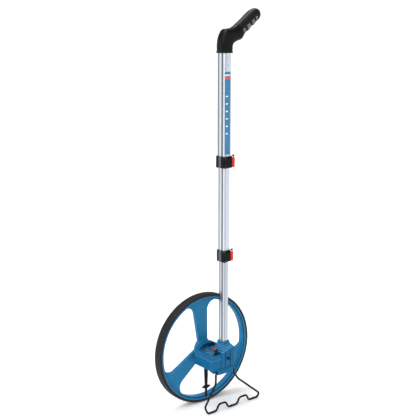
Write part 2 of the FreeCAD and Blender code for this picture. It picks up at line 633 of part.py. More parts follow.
def socket_knob():
    head = rod("knob_head", "knob_radius", "y", "-socket_nose - knob_height", "knob_height",
               z="-knob_level")
    shank = rod("knob_shank", "screw_radius", "y", "-socket_nose", "6", z="-knob_level")
    recess = doc.addObject("Part::Prism", "knob_recess")
    recess.Polygon = 6
    bind(recess, Circumradius="knob_radius * 0.55", Height="2")
    recess.Placement = Placement(Vector(), ALONG["y"])
    seat(recess, y="-socket_nose - knob_height", z="-knob_level")
    screw = cut("socket_knob", fuse("knob_body", head, shank), recess)
    return keep(screw, "pole_x", "-pole_y", "wheel_radius")


# ---- pointer ----

def pointer():
    body = new_body("pointer")
    depth = "pointer_near - pointer_far"
    ring = circles(body, "ring_edge", "XZ_Plane", [("0", "0", "pointer_ring")], "pointer_far")
    pad(body, "ring", ring, depth)
    arm = outline(body, "arm_outline", "XZ_Plane", [
        ("-pointer_top_half", "-8"), ("pointer_top_half", "-8"),
        ("pointer_waist_half", "pointer_waist - wheel_radius"),
        ("pointer_tip_half", "pointer_tip - wheel_radius + 3"), ("0", "pointer_tip - wheel_radius"),
        ("-pointer_tip_half", "pointer_tip - wheel_radius + 3"),
        ("-pointer_waist_half", "pointer_waist - wheel_radius")], "pointer_far")
    pad(body, "arm", arm, depth)
    bar = outline(body, "bar_outline", "XZ_Plane", [
        ("-bar_half", "bar_level - wheel_radius - 1"), ("0", "bar_level - wheel_radius - bar_height"),
        ("bar_half", "bar_level - wheel_radius - 1"), ("bar_half", "bar_level - wheel_radius + 1"),
        ("0", "bar_level - wheel_radius + bar_height"), ("-bar_half", "bar_level - wheel_radius + 1")],
        "pointer_far")
    pad(body, "bar", bar, f"{depth} + bar_proud")
    slot = rectangle(body, "slot_outline", "XZ_Plane", ("-pointer_slot", "pointer_waist - wheel_radius + 6"),
                     ("pointer_slot", "-24"), "pointer_near - pointer_slot_depth")
    pocket(body, "slot", slot, "pointer_slot_depth + 1", "back")
    bored(body, "pivot", "pointer_bore", "pointer_far", "pointer_near")
    return keep(body, z="wheel_radius")


# ---- folding stand ----

def stand_bracket():
    top = "-box_floor - bracket_gap"
    body = new_body("stand_bracket")
    lip = rectangle(body, "lip_outline", "XY_Plane", ("-bracket_left", "-bracket_front"),
                    ("bracket_right", "-bracket_back"), f"{top} - bracket_drop")
    pad(body, "lip", lip, "bracket_drop")
    wing = outline(body, "wing_outline", "XZ_Plane", [
        ("-box_half", top), ("-wing_left", f"{top} - wing_drop"),
        ("bracket_right", f"{top} - wing_drop"), ("box_half", top)], "bracket_back - 4")
    pad(body, "wing", wing, "wing_front - bracket_back + 4")
    low = outline(body, "lip_slope", "YZ_Plane", [
        ("-bracket_back + 1", f"{top} - bracket_drop - 1"), ("-bracket_back + 1", f"{top} - wing_drop"),
        ("-hinge_front + 2", f"{top} - bracket_drop - 1")])
    pocket(body, "lip_under", low, "4 * box_half", "both")
    high = outline(body, "lip_face", "YZ_Plane", [
        ("-bracket_front - 1", f"{top} + 1"), ("-box_front - 1", f"{top} + 1"),
        ("-bracket_front - 1", f"{top} - bracket_drop + 8")])
    pocket(body, "lip_over", high, "4 * box_half", "both")
    hole = circles(body, "hinge_hole", "YZ_Plane", [
        ("-hinge_front", "hinge_level - wheel_radius", "wire_radius + hinge_fit")], "-bracket_left - 1")
    pocket(body, "hinge_hole_left", hole, "hinge_pin", "back")
    far_hole = circles(body, "hinge_hole_far", "YZ_Plane", [
        ("-hinge_front", "hinge_level - wheel_radius", "wire_radius + hinge_fit")], "bracket_right + 1")
    pocket(body, "hinge_hole_right", far_hole, "hinge_pin")
    return keep(body, z="wheel_radius")


def bent_path(points, radii):
    """Straight runs joined by tangent arcs, one radius for each inner point."""
    edges = []
    here = points[0]
    for before, corner, after, largest in zip(points, points[1:], points[2:], radii):
        back = (before - corner).normalize()
        ahead = (after - corner).normalize()
        half_turn = (math.pi - back.getAngle(ahead)) / 2
        room = 0.45 * min((before - corner).Length, (after - corner).Length)
        radius = min(largest, room / math.tan(half_turn))
        reach = radius * math.tan(half_turn)
        start = corner + back * reach
        end = corner + ahead * reach
        bisector = (back + ahead).normalize()
        crest = corner + bisector * (radius / math.cos(half_turn) - radius)
        edges.append(Part.LineSegment(here, start).toShape())
        edges.append(Part.Arc(start, crest, end).toShape())
        here = end
    edges.append(Part.LineSegment(here, points[-1]).toShape())
    return Part.Wire(edges)


def stand_wire():
    """One bent wire: two hinge ends, two legs and a castellated foot bar."""
    level = size("hinge_level")
    foot = size("wire_radius") - level
    raised = foot + size("foot_rise")
    inner_left = size("hinge_pin") - size("overlap") - size("bracket_left")
    inner_right = size("bracket_right") - size("hinge_pin") + size("overlap")
    left = -size("leg_left")
    right = size("leg_right")
    far_left = -size("shoulder_left")
    far_right = size("shoulder_right")
    left_leg = [(inner_left, 0), (left, 0), (left, -32), (far_left, -92), (far_left + 10, foot)]
    feet = [(-21, foot), (-14, raised), (11, raised), (21, foot),
            (54, foot), (62, raised), (88, raised), (97, foot)]
    right_leg = [(far_right - 7, foot), (far_right, -103), (55, -36), (right, -13), (right, 0),
                 (inner_right, 0)]
    flat = left_leg + feet + right_leg
    bend = size("wire_bend")
    tight = size("wire_tight_bend")
    radii = [tight] + [bend] * (len(flat) - 4) + [tight]
    path = bent_path([Vector(x, 0, z) for x, z in flat], radii)
    start = Vector(inner_left, 0, 0)
    section = Part.Wire(Part.makeCircle(size("wire_radius"), start, Vector(1, 0, 0)))
    wire = solid("stand_wire", path.makePipeShell([section], True, False))
    drop = size("hinge_front") - size("foot_front")
    lean = math.degrees(math.atan2(drop, -foot))
    wire.Placement = Placement(Vector(), Rotation(Vector(1, 0, 0), lean))
    return keep(wire, y="-hinge_front", z="hinge_level")


# ---- telescopic pole, about the pole's axis ----

def square_tube(name, outer, bottom, top):
    body = new_body(name)
    half = f"{outer} / 2"
    inner = f"{half} - tube_wall"
    around = rectangle(body, name + "_outline", "XY_Plane", (f"-{half}", f"-{half}"), (half, half), bottom)
    pad(body, name + "_length", around, f"{top} - {bottom}")
    vertical = Vector(0, 0, 1)
    round_edges(body, name + "_corners", lambda edge: runs_along(edge, vertical), "tube_round")
    bore = rectangle(body, name + "_bore", "XY_Plane", (f"-({inner})", f"-({inner})"), (inner, inner),
                     f"{bottom} - 1")
    pocket(body, name + "_hollow", bore, f"{top} - {bottom} + 2", "back")
    bore_half = size(outer) / 2 - size("tube_wall")

    def inside_corner(edge):
        spot = middle(edge)
        on_corner = all(abs(abs(across) - bore_half) < NEAR for across in (spot.x, spot.y))
        return runs_along(edge, vertical) and on_corner

    round_edges(body, name + "_bore_corners", inside_corner, "tube_round - tube_wall")
    centre = f"-groove_offset * {outer}"
    groove = rectangle(body, name + "_groove", "XY_Plane",
                       (f"-{half} - 1", f"{centre} - groove_width / 2"),
                       (f"groove_depth - {half}", f"{centre} + groove_width / 2"), f"{bottom} - 1")
    pocket(body, name + "_groove_cut", groove, f"{top} - {bottom} + 2", "back")
    return body


def pole_tubes():
    lower = square_tube("lower_tube", "lower_size", "lower_bottom", "lower_top")
    middle_tube = square_tube("middle_tube", "middle_size", "middle_bottom", "middle_top")
    upper = square_tube("upper_tube", "upper_size", "upper_bottom", "upper_top")
    recess = rectangle(upper, "label_recess", "XZ_Plane",
                       ("-label_width / 2 - fit_gap", "label_bottom - fit_gap"),
                       ("label_width / 2 + fit_gap", "label_top + fit_gap"),
                       "upper_size / 2 - label_depth")
    pocket(upper, "label_recess_cut", recess, "2", "back")
    rivets = circles(upper, "rivet_holes", "XZ_Plane", [
        ("0", "rivet_low", "rivet_radius / 2"), ("0", "rivet_high", "rivet_radius / 2")],
        "upper_size / 2 - tube_wall - 1")
    pocket(upper, "rivet_holes_cut", rivets, "4", "back")
    for tube in (lower, middle_tube, upper):
        keep(tube, "pole_x", "-pole_y")


def tube_guide(name, tube_size, tube_top, outside):
    """A plastic plug on a tube's top end that guides it in the next tube."""
    cap_half = f"{outside} / 2 - tube_wall - guide_play"
    plug_half = f"{tube_size} / 2 - tube_wall - plug_play"
    body = new_body(name)
    cap = rectangle(body, name + "_cap_outline", "XY_Plane", (f"-({cap_half})", f"-({cap_half})"),
                    (cap_half, cap_half), tube_top)
    pad(body, name + "_cap", cap, "guide_cap")
    vertical = Vector(0, 0, 1)
    round_edges(body, name + "_cap_corners", lambda edge: runs_along(edge, vertical),
                "tube_round - tube_wall")
    plug = rectangle(body, name + "_plug_outline", "XY_Plane",
                     (f"plug_flat - ({plug_half})", f"-({plug_half})"),
                     (f"{plug_half} - plug_flat", plug_half), f"{tube_top} - guide_plug")
    pad(body, name + "_plug", plug, "guide_plug")
    round_edges(body, name + "_plug_corners", lambda edge: runs_along(edge, vertical)
                and middle(edge).z < size(tube_top) - 1, "tube_round - tube_wall")
    return keep(body, "pole_x", "-pole_y")


def clamp(prefix, outer, inner, tube_bottom):
    """A lever clamp fixed to a tube's lower end, which grips the smaller tube below."""
    low = f"({tube_bottom} - clamp_below)"
    half = f"({outer} / 2 + clamp_wall)"
    vertical = Vector(0, 0, 1)
    body = new_body(prefix + "_clamp")
    around = rectangle(body, prefix + "_outline", "XY_Plane", (f"-{half}", f"-{half}"), (half, half), low)
    pad(body, prefix + "_collar", around, "clamp_height")
    round_edges(body, prefix + "_corners", lambda edge: runs_along(edge, vertical), "clamp_round")
    for level, name in ((low, "low_ear"), (f"{low} + clamp_height - ear_height - ear_drop", "high_ear")):
        ear = rectangle(body, f"{prefix}_{name}_outline", "XY_Plane",
                        ("-ear_left", f"-{half} - pin_out - ear_proud"), ("-ear_right", f"overlap - {half}"),
                        f"{level} + ear_inset")
        pad(body, f"{prefix}_{name}", ear, "ear_height")
    sockets = ((f"{outer} / 2 + shaft_play", tube_bottom, "clamp_height"),
               (f"{inner} / 2 + clamp_play", f"{low} - 1", "clamp_height"))
    for i, (bore_half, start, length) in enumerate(sockets):
        bore = rectangle(body, f"{prefix}_bore_{i}", "XY_Plane", (f"-({bore_half})", f"-({bore_half})"),
                         (bore_half, bore_half), start)
        pocket(body, f"{prefix}_bore_cut_{i}", bore, length, "back")
    slit = rectangle(body, prefix + "_slit", "XY_Plane", (f"-{half} - 1", "-slit_shift - clamp_slit / 2"),
                     (f"-{inner} / 2", "clamp_slit / 2 - slit_shift"), f"{low} - 1")
    pocket(body, prefix + "_slit_cut", slit, "clamp_height + 2", "back")
    pin_y = f"-{half} - pin_out"
    hole = circles(body, prefix + "_pin_hole", "XY_Plane", [("-pin_x", pin_y, "pin_radius")], f"{low} - 1")
    pocket(body, prefix + "_pin_hole_cut", hole, "clamp_height + 2", "back")
    pad_low = f"{low} + pad_edge"
    pad_high = f"{low} + clamp_below - pad_edge"
    room = rectangle(body, prefix + "_pad_room", "XY_Plane",
                     ("-pad_half", f"-{inner} / 2 - clamp_play - pad_depth"),
                     ("pad_half", f"-{inner} / 2"), pad_low)
    pocket(body, prefix + "_pad_room_cut", room, f"{pad_high} - ({pad_low})", "back")
    keep(body, "pole_x", "-pole_y")
    keep(block(prefix + "_clamp_pad", ("-pad_half", "pad_half"),
               (f"-{inner} / 2 - clamp_play - pad_depth", f"-{inner} / 2 - clamp_play"),
               (pad_low, pad_high)), "pole_x - pad_half",
         f"-pole_y - {inner} / 2 - clamp_play - pad_depth", pad_low)
    lever(prefix, low, half, pin_y)
    pin = rod(prefix + "_lever_pin", "pin_radius", "z", "0", "clamp_height - 2 * ear_inset")
    keep(pin, "pole_x - pin_x", f"-pole_y + ({pin_y})", f"{low} + ear_inset")
    screws = []
    for i, level in enumerate(("clamp_below + clamp_screw_inset", "clamp_height - clamp_screw_inset")):
        screws.append(rod(f"{prefix}_clamp_screw_{i}", "clamp_screw_radius", "y", half,
                          "clamp_screw_height", z=f"{low} + {level}"))
    keep(group(prefix + "_clamp_screws", *screws), "pole_x", "-pole_y")


def lever(prefix, low, half, pin_y):
    """The clamp's lever about its pin, and its coloured finger tip past the collar's corner."""
    body = new_body(prefix + "_lever")
    bottom = f"{low} + lever_inset"
    height = "clamp_height - 2 * lever_inset"
    root = f"{half} + tip_joint"
    knuckle = circles(body, prefix + "_knuckle", "XY_Plane", [("-pin_x", pin_y, "knuckle_radius")], bottom)
    pad(body, prefix + "_knuckle_pad", knuckle, height)
    arm = outline(body, prefix + "_arm", "XY_Plane", [
        ("-pin_x", f"-{half} - lever_inner"), ("-pin_x", f"-{half} - lever_outer"),
        (f"{half} * 0.4", f"-{half} - lever_outer - lever_crown"), (root, f"-{half} - lever_outer"),
        (root, f"-{half} - lever_inner - tip_root"), (half, f"-{half} - lever_inner")], bottom)
    pad(body, prefix + "_arm_pad", arm, height)
    hole = circles(body, prefix + "_knuckle_hole", "XY_Plane",
                   [("-pin_x", pin_y, "pin_radius + pin_play")], f"{bottom} - 1")
    pocket(body, prefix + "_knuckle_hole_cut", hole, f"{height} + 2", "back")
    keep(body, "pole_x", "-pole_y")
    tip = new_body(prefix + "_lever_tip")
    tip_bottom = f"{low} + tip_inset"
    end = f"{root} + tip_length"
    shape = outline(tip, prefix + "_tip_outline", "XY_Plane", [
        (root, f"-{half} - lever_inner - tip_root"), (root, f"-{half} - tip_thickness"),
        (f"{end} - 3", f"-{half} - tip_thickness - 0.4"), (end, f"-{half} - tip_thickness + 1"),
        (f"{end} - 0.6", f"-{half} - lever_inner"), (f"{end} - 4", f"-{half} - lever_inner + 0.3")],
        tip_bottom)
    pad(tip, prefix + "_tip_pad", shape, "clamp_height - 2 * tip_inset")
    keep(tip, "pole_x", "-pole_y")


def tube_label():
    depth = "label_depth - label_thickness"
    plate = block("tube_label", ("-label_width / 2", "label_width / 2"), ("0", "label_thickness"),
                  ("label_bottom", "label_top"))
    return keep(plate, "pole_x - label_width / 2", f"-pole_y - upper_size / 2 + {depth} - label_sink",
                "label_bottom")


def tube_rivets():
    rivets = []
    for name, level in (("rivet_low_head", "rivet_low"), ("rivet_high_head", "rivet_high")):
        head = doc.addObject("Part::Cone", name)
        bind(head, Radius1="rivet_radius * 0.55", Radius2="rivet_radius", Height="rivet_height")
        head.Placement = Placement(Vector(), ALONG["y"])
        seat(head, y="-upper_size / 2 - rivet_height", z=level)
        rivets.append(head)
    return keep(group("tube_rivets", *rivets), "pole_x", "-pole_y")


# ---- grip, about the pole's axis ----

def rounded_square(centre, normal_turn, width, depth, corner):
    """A square wire with round corners, leant by an angle about Y."""
    half_w = width / 2
    half_d = depth / 2
    straight_w = half_w - corner
    straight_d = half_d - corner
    slant = corner * (1 - math.sqrt(0.5))
    edges = []
    for quarter in range(4):
        sx, sy = ((1, 1), (-1, 1), (-1, -1), (1, -1))[quarter]
        along_x = Vector(sx * half_w, sy * straight_d, 0)
        crest = Vector(sx * (half_w - slant), sy * (half_d - slant), 0)
        along_y = Vector(sx * straight_w, sy * half_d, 0)
        first, last = (along_x, along_y) if quarter % 2 == 0 else (along_y, along_x)
        edges.append((first, crest, last))
    wire = []
    for i, (first, crest, last) in enumerate(edges):
        wire.append(Part.Arc(first, crest, last).toShape())
        wire.append(Part.LineSegment(last, edges[(i + 1) % 4][0]).toShape())
    loop = Part.Wire(wire)
    loop.Placement = Placement(centre, Rotation(Vector(0, 1, 0), normal_turn))
    return loop


def grip_elbow():
    """The bent outer shape of the handle's root, lofted through leaning squares."""
    bottom = size("grip_bottom")
    width = size("grip_size")
    elbow = size("elbow_size")
    lean = 90 - size("grip_lean")
    corner = size("grip_corner")
    sections = [
        (0.0, bottom, 0, width, width, corner), (0.0, bottom + 12, 0, width, width, corner),
        (0.5, bottom + 26, 9, elbow, width, 10.0), (6.5, bottom + 38, 26, elbow + 0.5, width, 11.0),
        (18.5, bottom + 45, 44, elbow + 1.0, width, 12.0), (32.0, bottom + 50, lean, elbow, width - 1, 13.0)]
    wires = [rounded_square(Vector(x, 0, z), turn, w, d, r) for x, z, turn, w, d, r in sections]
    return Part.makeLoft(wires, True, False)


def grip_core():
    """A socket for the pole's top, bent over into the leaning core of the handle."""
    bottom = size("grip_bottom")
    width = size("grip_size")
    corner = size("grip_corner")
    extra = size("flange_extra")
    across = width + 2 * extra
    ends = [rounded_square(Vector(0, 0, level), 0, across, across, corner + extra)
            for level in (bottom, bottom + size("flange_height"))]
    flange = Part.makeLoft(ends, True, False)
    half_plug = size("upper_size") / 2 - size("tube_wall") - 0.05
    plug = Part.makeBox(2 * half_plug, 2 * half_plug, size("plug_length"),
                        Vector(-half_plug, -half_plug, size("upper_top") - size("plug_length")))
    plug = plug.makeFillet(size("tube_round") - size("tube_wall") + size("guide_play"),
                           [edge for edge in plug.Edges if runs_along(edge, Vector(0, 0, 1))])
    half_socket = size("upper_size") / 2 + 0.05
    socket = Part.makeBox(2 * half_socket, 2 * half_socket, size("upper_top") - bottom + 1,
                          Vector(-half_socket, -half_socket, bottom - 1))
    ahead = Vector(math.cos(math.radians(size("grip_lean"))), 0, math.sin(math.radians(size("grip_lean"))))
    start = Vector(size("grip_start_x") - size("pole_x"), 0, size("grip_start_z"))
    root = size("core_root")
    core = Part.makeCylinder(size("core_radius"), size("core_length") + root, start - ahead * root, ahead)
    shape = grip_elbow().fuse([flange]).cut(socket).fuse([plug, core]).removeSplitter()
    return keep(solid("grip_core", shape), "pole_x", "-pole_y")


def grip_sleeve():
    """The rubber handle round the core, as an oval barrel with a rounded end."""
    lean = math.radians(size("grip_lean"))
    ahead = Vector(math.cos(lean), 0, math.sin(lean))
    start = Vector(size("grip_start_x") - size("pole_x"), 0, size("grip_start_z"))
    length = size("grip_length")
    profile = ((0.0, 0.93), (0.2, 0.97), (0.45, 1.0), (0.7, 1.06), (0.86, 1.04), (0.96, 0.86), (1.0, 0.5))
    wires = []
    for along, swell in profile:
        ring = Part.Ellipse(Vector(), size("grip_depth") / 2 * swell, size("grip_breadth") / 2 * swell)
        wire = Part.Wire(ring.toShape())
        wire.Placement = Placement(start + ahead * length * along,
                                   Rotation(Vector(0, 1, 0), 90 - size("grip_lean")))
        wires.append(wire)
    barrel = Part.makeLoft(wires, True, False)
    core = Part.makeCylinder(size("core_radius"), size("core_length") + 2 * PAST,
                             start - ahead * 2 * PAST, ahead)
    return keep(solid("grip_sleeve", barrel.cut([core, grip_elbow()])), "pole_x", "-pole_y")


# ---- counter, about its own shaft ----

def counter_case():
    body = new_body("counter_case")
    outside = outline(body, "case_outline", "XZ_Plane", [
        ("-case_left", "-case_bottom"), ("-case_left", "case_shoulder"), ("-case_top_left", "case_top"),
        ("case_right - case_bevel", "case_top"), ("case_right", "case_top - case_bevel"),
        ("case_right", "-case_bottom")], "case_back")
    pad(body, "case_block", outside, "case_front - case_back")
    inset = "case_wall * 0.4"
    inside = outline(body, "case_inside", "XZ_Plane", [
        ("case_wall - case_left", "case_wall - case_bottom"),
        ("case_wall - case_left", f"case_shoulder - {inset}"),
        (f"{inset} - case_top_left", "case_top - case_wall"),
        (f"case_right - case_bevel - {inset}", "case_top - case_wall"),
        ("case_right - case_wall", f"case_top - case_bevel - {inset}"),
        ("case_right - case_wall", "case_wall - case_bottom")], "case_back + case_wall")
    pocket(body, "case_hollow", inside, "case_front - case_back - 2 * case_wall", "back")
    window = outline(body, "case_window", "XZ_Plane", [
        ("-9.5", "4.9"), ("-2.4", "11.3"), ("-7.1", "16.5"), ("-14.2", "10.1")],
        "case_back + window_inset")
    pocket(body, "case_window_cut", window, "case_front - case_back - 2 * window_inset", "back")
    bores = circles(body, "case_bores", "XZ_Plane", [("0", "0", "case_bore")], "case_back - 1")
    pocket(body, "case_bores_cut", bores, "case_wall + 1", "back")
    seat_bore = circles(body, "case_seat", "XZ_Plane", [("0", "0", "shaft_radius")],
                        "case_front - case_wall - 0.5")
    pocket(body, "case_seat_cut", seat_bore, "case_wall + 1", "back")
    return keep(body, "-counter_reach", z="wheel_radius")


def counter_window():
    body = new_body("counter_window")
    pane = outline(body, "pane_outline", "XZ_Plane", [
        ("-10.3", "5.9"), ("-3.35", "12.2"), ("-4.0", "12.95"), ("-10.95", "6.65")],
        "case_back + window_inset + window_gap")
    pad(body, "pane", pane, "case_front - case_back - 2 * (window_inset + window_gap)")
    return keep(body, "-counter_reach", z="wheel_radius")


def drum_level(index, offset="0"):
    return f"drum_first + {index} * drum_pitch + ({offset})"


def digit_drum(index):
    """A numbered drum with a toothed ring on the side that its neighbour drives."""
    name = f"digit_drum_{index + 1}"
    body = new_body(name)
    far = drum_level(index, "-drum_width / 2")
    edge = circles(body, name + "_edge", "XZ_Plane", [("0", "0", "drum_radius")], far)
    pad(body, name + "_rim", edge, "drum_width")
    ring_far = f"{far} - ring_width"
    toothed(body, name + "_ring", "ring_teeth", "ring_root", "ring_outer", "ring_tooth", "ring_tooth * 0.6",
            ring_far, f"{far} + 0.2")
    near = f"{far} + drum_width"
    if index == 0:
        ring_far = "gear_near - 0.5"
        sleeve = circles(body, "input_sleeve", "XZ_Plane", [("0", "0", "sleeve_outer")], ring_far)
        pad(body, "input_sleeve_pad", sleeve, f"{far} - ({ring_far})")
    bored(body, name + "_bore", "shaft_radius + shaft_play", ring_far, near)
    return keep(body, "-counter_reach", z="wheel_radius")


def counter_gear():
    """The driven gear, half a tooth out of step with the wheel's gear so that they mesh."""
    body = new_body("counter_gear")
    toothed(body, "driven", "gear_teeth", "gear_root", "gear_outer", "tooth_foot", "tooth_tip",
            "gear_far", "gear_near - 0.5")
    bored(body, "driven_bore", "shaft_radius + shaft_play", "gear_far", "gear_near")
    half_tooth = 180 / size("gear_teeth")
    body.Placement = Placement(Vector(), Rotation(Vector(0, 1, 0), half_tooth))
    return keep(body, "-counter_reach", z="wheel_radius")


def transfer_pinion(index):
    """A small pinion that carries from one drum to the next."""
    name = f"transfer_pinion_{index + 1}"
    body = new_body(name)
    far = drum_level(index + 1, "-drum_width / 2 - ring_width + 0.15")
    near = f"{far} + ring_width - 0.3"
    toothed(body, name, "idler_teeth", "idler_root", "idler_outer", "idler_tooth",
            "idler_tooth * 0.6", far, near)
    bored(body, name + "_bore", "idler_bore", far, near)
    half_tooth = 180 / size("idler_teeth")
    body.Placement = Placement(Vector(), Rotation(Vector(0, 1, 0), 90 + half_tooth))
    return keep(body, "-counter_reach", z="wheel_radius - idler_drop")


def counter_shafts():
    main = rod("counter_shaft", "shaft_radius", "y", "0", "shaft_near - shaft_far")
    keep(main, "-counter_reach", "-shaft_near", "wheel_radius")
    side = rod("transfer_shaft", "idler_shaft", "y", "0", "case_front - case_back - 2 * case_wall")
    keep(side, "-counter_reach", "case_wall - case_front", "wheel_radius - idler_drop")


def reset_lever():
    hub = rod("reset_hub", "lever_hub", "y", "-lever_front", "lever_front - lever_back")
    arm = block("reset_arm", ("-lever_arm", "lever_arm"), ("-lever_front", "-lever_back"),
                ("0", "lever_top - 1"))
    thumb = block("reset_thumb", ("-thumb_half", "thumb_half"), ("-lever_front", "-lever_back"),
                  ("lever_top - thumb_height", "lever_top"))
    bore = rod("reset_bore", "shaft_radius + shaft_play", "y", "-lever_front - 1",
               "lever_front - lever_back + 2")
    whole = fuse("reset_whole", hub, arm, thumb)
    return keep(cut("reset_lever", whole, bore), "-counter_reach", z="wheel_radius")


wheel_rim()
tyre()
wheel_bearings()
drive_gear()
hub_cap()
axle()
axle_nut()
axle_washer()
gearbox_base()
gearbox_cover()
housing_screws()
pole_socket()
socket_knob()
pointer()
stand_bracket()
stand_wire()
pole_tubes()
for guide, tube_size, tube_top, outside in (("lower_guide", "lower_size", "lower_top", "middle_size"),
                                            ("middle_guide", "middle_size", "middle_top", "upper_size")):
    tube_guide(guide, tube_size, tube_top, outside)
clamp("lower", "middle_size", "lower_size", "middle_bottom")
clamp("upper", "upper_size", "middle_size", "upper_bottom")
tube_label()
tube_rivets()
grip_core()
grip_sleeve()
counter_case()
counter_window()
for drum in range(DRUMS):
    digit_drum(drum)
counter_gear()
for pinion in range(DRUMS - 1):
    transfer_pinion(pinion)
counter_shafts()
reset_lever()

doc.recompute()
failed = [item.Name for item in doc.Objects if "Invalid" in item.State or "Error" in item.State]
if failed:
    raise RuntimeError("failed to compute: " + ", ".join(failed))
for part in PARTS:
    if part.Shape.isNull() or not part.Shape.isValid():
        raise RuntimeError(f"{part.Label} has no valid shape")
for part in PARTS:
    part.Shape.exportStep(f"parts/{part.Label}.step")
    box = part.Shape.BoundBox
    print(f"{part.Label:22s} solids {len(part.Shape.Solids)}  volume {part.Shape.Volume:10.1f}"
          f"  x {box.XMin:7.1f} {box.XMax:7.1f}  y {box.YMin:7.1f} {box.YMax:7.1f}"
          f"  z {box.ZMin:7.1f} {box.ZMax:7.1f}")
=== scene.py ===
import math

import bmesh
import bpy
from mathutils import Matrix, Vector


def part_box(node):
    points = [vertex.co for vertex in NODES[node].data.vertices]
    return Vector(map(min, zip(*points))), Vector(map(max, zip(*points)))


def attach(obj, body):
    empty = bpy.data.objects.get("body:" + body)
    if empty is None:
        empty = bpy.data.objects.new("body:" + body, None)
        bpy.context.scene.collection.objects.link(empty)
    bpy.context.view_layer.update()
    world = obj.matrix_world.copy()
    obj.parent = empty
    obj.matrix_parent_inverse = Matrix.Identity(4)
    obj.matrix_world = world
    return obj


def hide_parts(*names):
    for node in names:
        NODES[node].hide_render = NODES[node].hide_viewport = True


# Measuring wheel: the CAD frame with its finishes, and the pieces whose surface is too fine for
# CAD, such as the moulded handle, the tyre's tread, the numbered drums' digits and the label.
# Metres, in the frame of the model: +Z up, the axle along Y, the pole on the -Y side.

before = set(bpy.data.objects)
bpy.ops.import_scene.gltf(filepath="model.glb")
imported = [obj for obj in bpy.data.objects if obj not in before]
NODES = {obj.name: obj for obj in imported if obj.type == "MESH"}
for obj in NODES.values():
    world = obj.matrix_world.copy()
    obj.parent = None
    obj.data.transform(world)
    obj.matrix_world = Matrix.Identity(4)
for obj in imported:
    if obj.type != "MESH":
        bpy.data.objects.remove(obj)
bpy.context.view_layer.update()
MM = 0.001


# ---- node helpers ----

# The colour sockets of a Mix node, which share their names with its other sockets.
MIX_FIRST, MIX_SECOND, MIX_RESULT = 6, 7, 2


class Graph:
    """A material's node tree with short calls for the nodes used here."""

    def __init__(self, name):
        self.material = bpy.data.materials.new(name)
        self.material.use_nodes = True
        self.tree = self.material.node_tree
        self.shader = self.tree.nodes["Principled BSDF"]
        self.place = self.node("ShaderNodeTexCoord").outputs["Object"]

    def node(self, kind, **values):
        made = self.tree.nodes.new(kind)
        for name, value in values.items():
            setattr(made, name, value)
        return made

    def link(self, start, end):
        self.tree.links.new(start, end)

    def stretched(self, scale):
        """The object's own coordinates, scaled by axis."""
        mapping = self.node("ShaderNodeMapping")
        mapping.inputs["Scale"].default_value = scale
        self.link(self.place, mapping.inputs["Vector"])
        return mapping.outputs["Vector"]

    def axis(self, letter):
        """One of the object's own coordinates."""
        parts = self.node("ShaderNodeSeparateXYZ")
        self.link(self.place, parts.inputs["Vector"])
        return parts.outputs[letter]

    def noise(self, scale, detail=3.0, rough=0.5, stretch=None):
        made = self.node("ShaderNodeTexNoise")
        made.inputs["Scale"].default_value = scale
        made.inputs["Detail"].default_value = detail
        made.inputs["Roughness"].default_value = rough
        self.link(self.stretched(stretch) if stretch else self.place, made.inputs["Vector"])
        return made.outputs["Fac"]

    def cells(self, scale):
        made = self.node("ShaderNodeTexVoronoi")
        made.inputs["Scale"].default_value = scale
        self.link(self.place, made.inputs["Vector"])
        return made.outputs["Distance"]

    def ramp(self, source, stops):
        """A colour ramp; stops are (position, colour)."""
        made = self.node("ShaderNodeValToRGB")
        set_stops(made.color_ramp, stops)
        self.link(source, made.inputs["Fac"])
        return made.outputs["Color"]

    def level(self, source, low, high, start=0.0, end=1.0):
        """A number moved from one range to another."""
        made = self.node("ShaderNodeMapRange")
        for name, value in (("From Min", start), ("From Max", end), ("To Min", low), ("To Max", high)):
            made.inputs[name].default_value = value
        self.link(source, made.inputs["Value"])
        return made.outputs["Result"]

    def blend(self, factor, source, colour):
        """From a linked colour at factor 0 to a plain one at factor 1."""
        made = self.node("ShaderNodeMix", data_type="RGBA")
        made.inputs[MIX_SECOND].default_value = (*colour, 1.0)
        self.link(factor, made.inputs["Factor"])
        self.link(source, made.inputs[MIX_FIRST])
        return made.outputs[MIX_RESULT]

    def multiply(self, first, second):
        made = self.node("ShaderNodeMix", data_type="RGBA", blend_type="MULTIPLY")
        made.inputs["Factor"].default_value = 1.0
        self.link(first, made.inputs[MIX_FIRST])
        self.link(second, made.inputs[MIX_SECOND])
        return made.outputs[MIX_RESULT]

    def wear(self, radius, low, high):
        """Where edges are: the difference between a rounded normal and the true one."""
        bevel = self.node("ShaderNodeBevel", samples=4)
        bevel.inputs["Radius"].default_value = radius
        true_normal = self.node("ShaderNodeNewGeometry").outputs["Normal"]
        dot = self.node("ShaderNodeVectorMath", operation="DOT_PRODUCT")
        self.link(bevel.outputs["Normal"], dot.inputs[0])
        self.link(true_normal, dot.inputs[1])
        return self.level(dot.outputs["Value"], 1.0, 0.0, low, high)

    def bump(self, height, strength, distance):
        made = self.node("ShaderNodeBump")
        made.inputs["Strength"].default_value = strength
        made.inputs["Distance"].default_value = distance
        self.link(height, made.inputs["Height"])
        self.link(made.outputs["Normal"], self.shader.inputs["Normal"])

    def set(self, **values):
        for name, value in values.items():
            self.shader.inputs[name.replace("_", " ")].default_value = value

    def colour(self, source):
        self.link(source, self.shader.inputs["Base Color"])

    def roughness(self, source, low, high):
        """Roughness between two values, by a noise."""
        self.link(self.level(source, low, high, 0.3, 0.7), self.shader.inputs["Roughness"])


def set_stops(band, stops):
    """Give a colour ramp its stops, which are (position, colour)."""
    while len(band.elements) < len(stops):
        band.elements.new(0.5)
    for element, (position, colour) in zip(band.elements, stops):
        element.position = position
        element.color = (*colour, 1.0)


# ---- materials ----

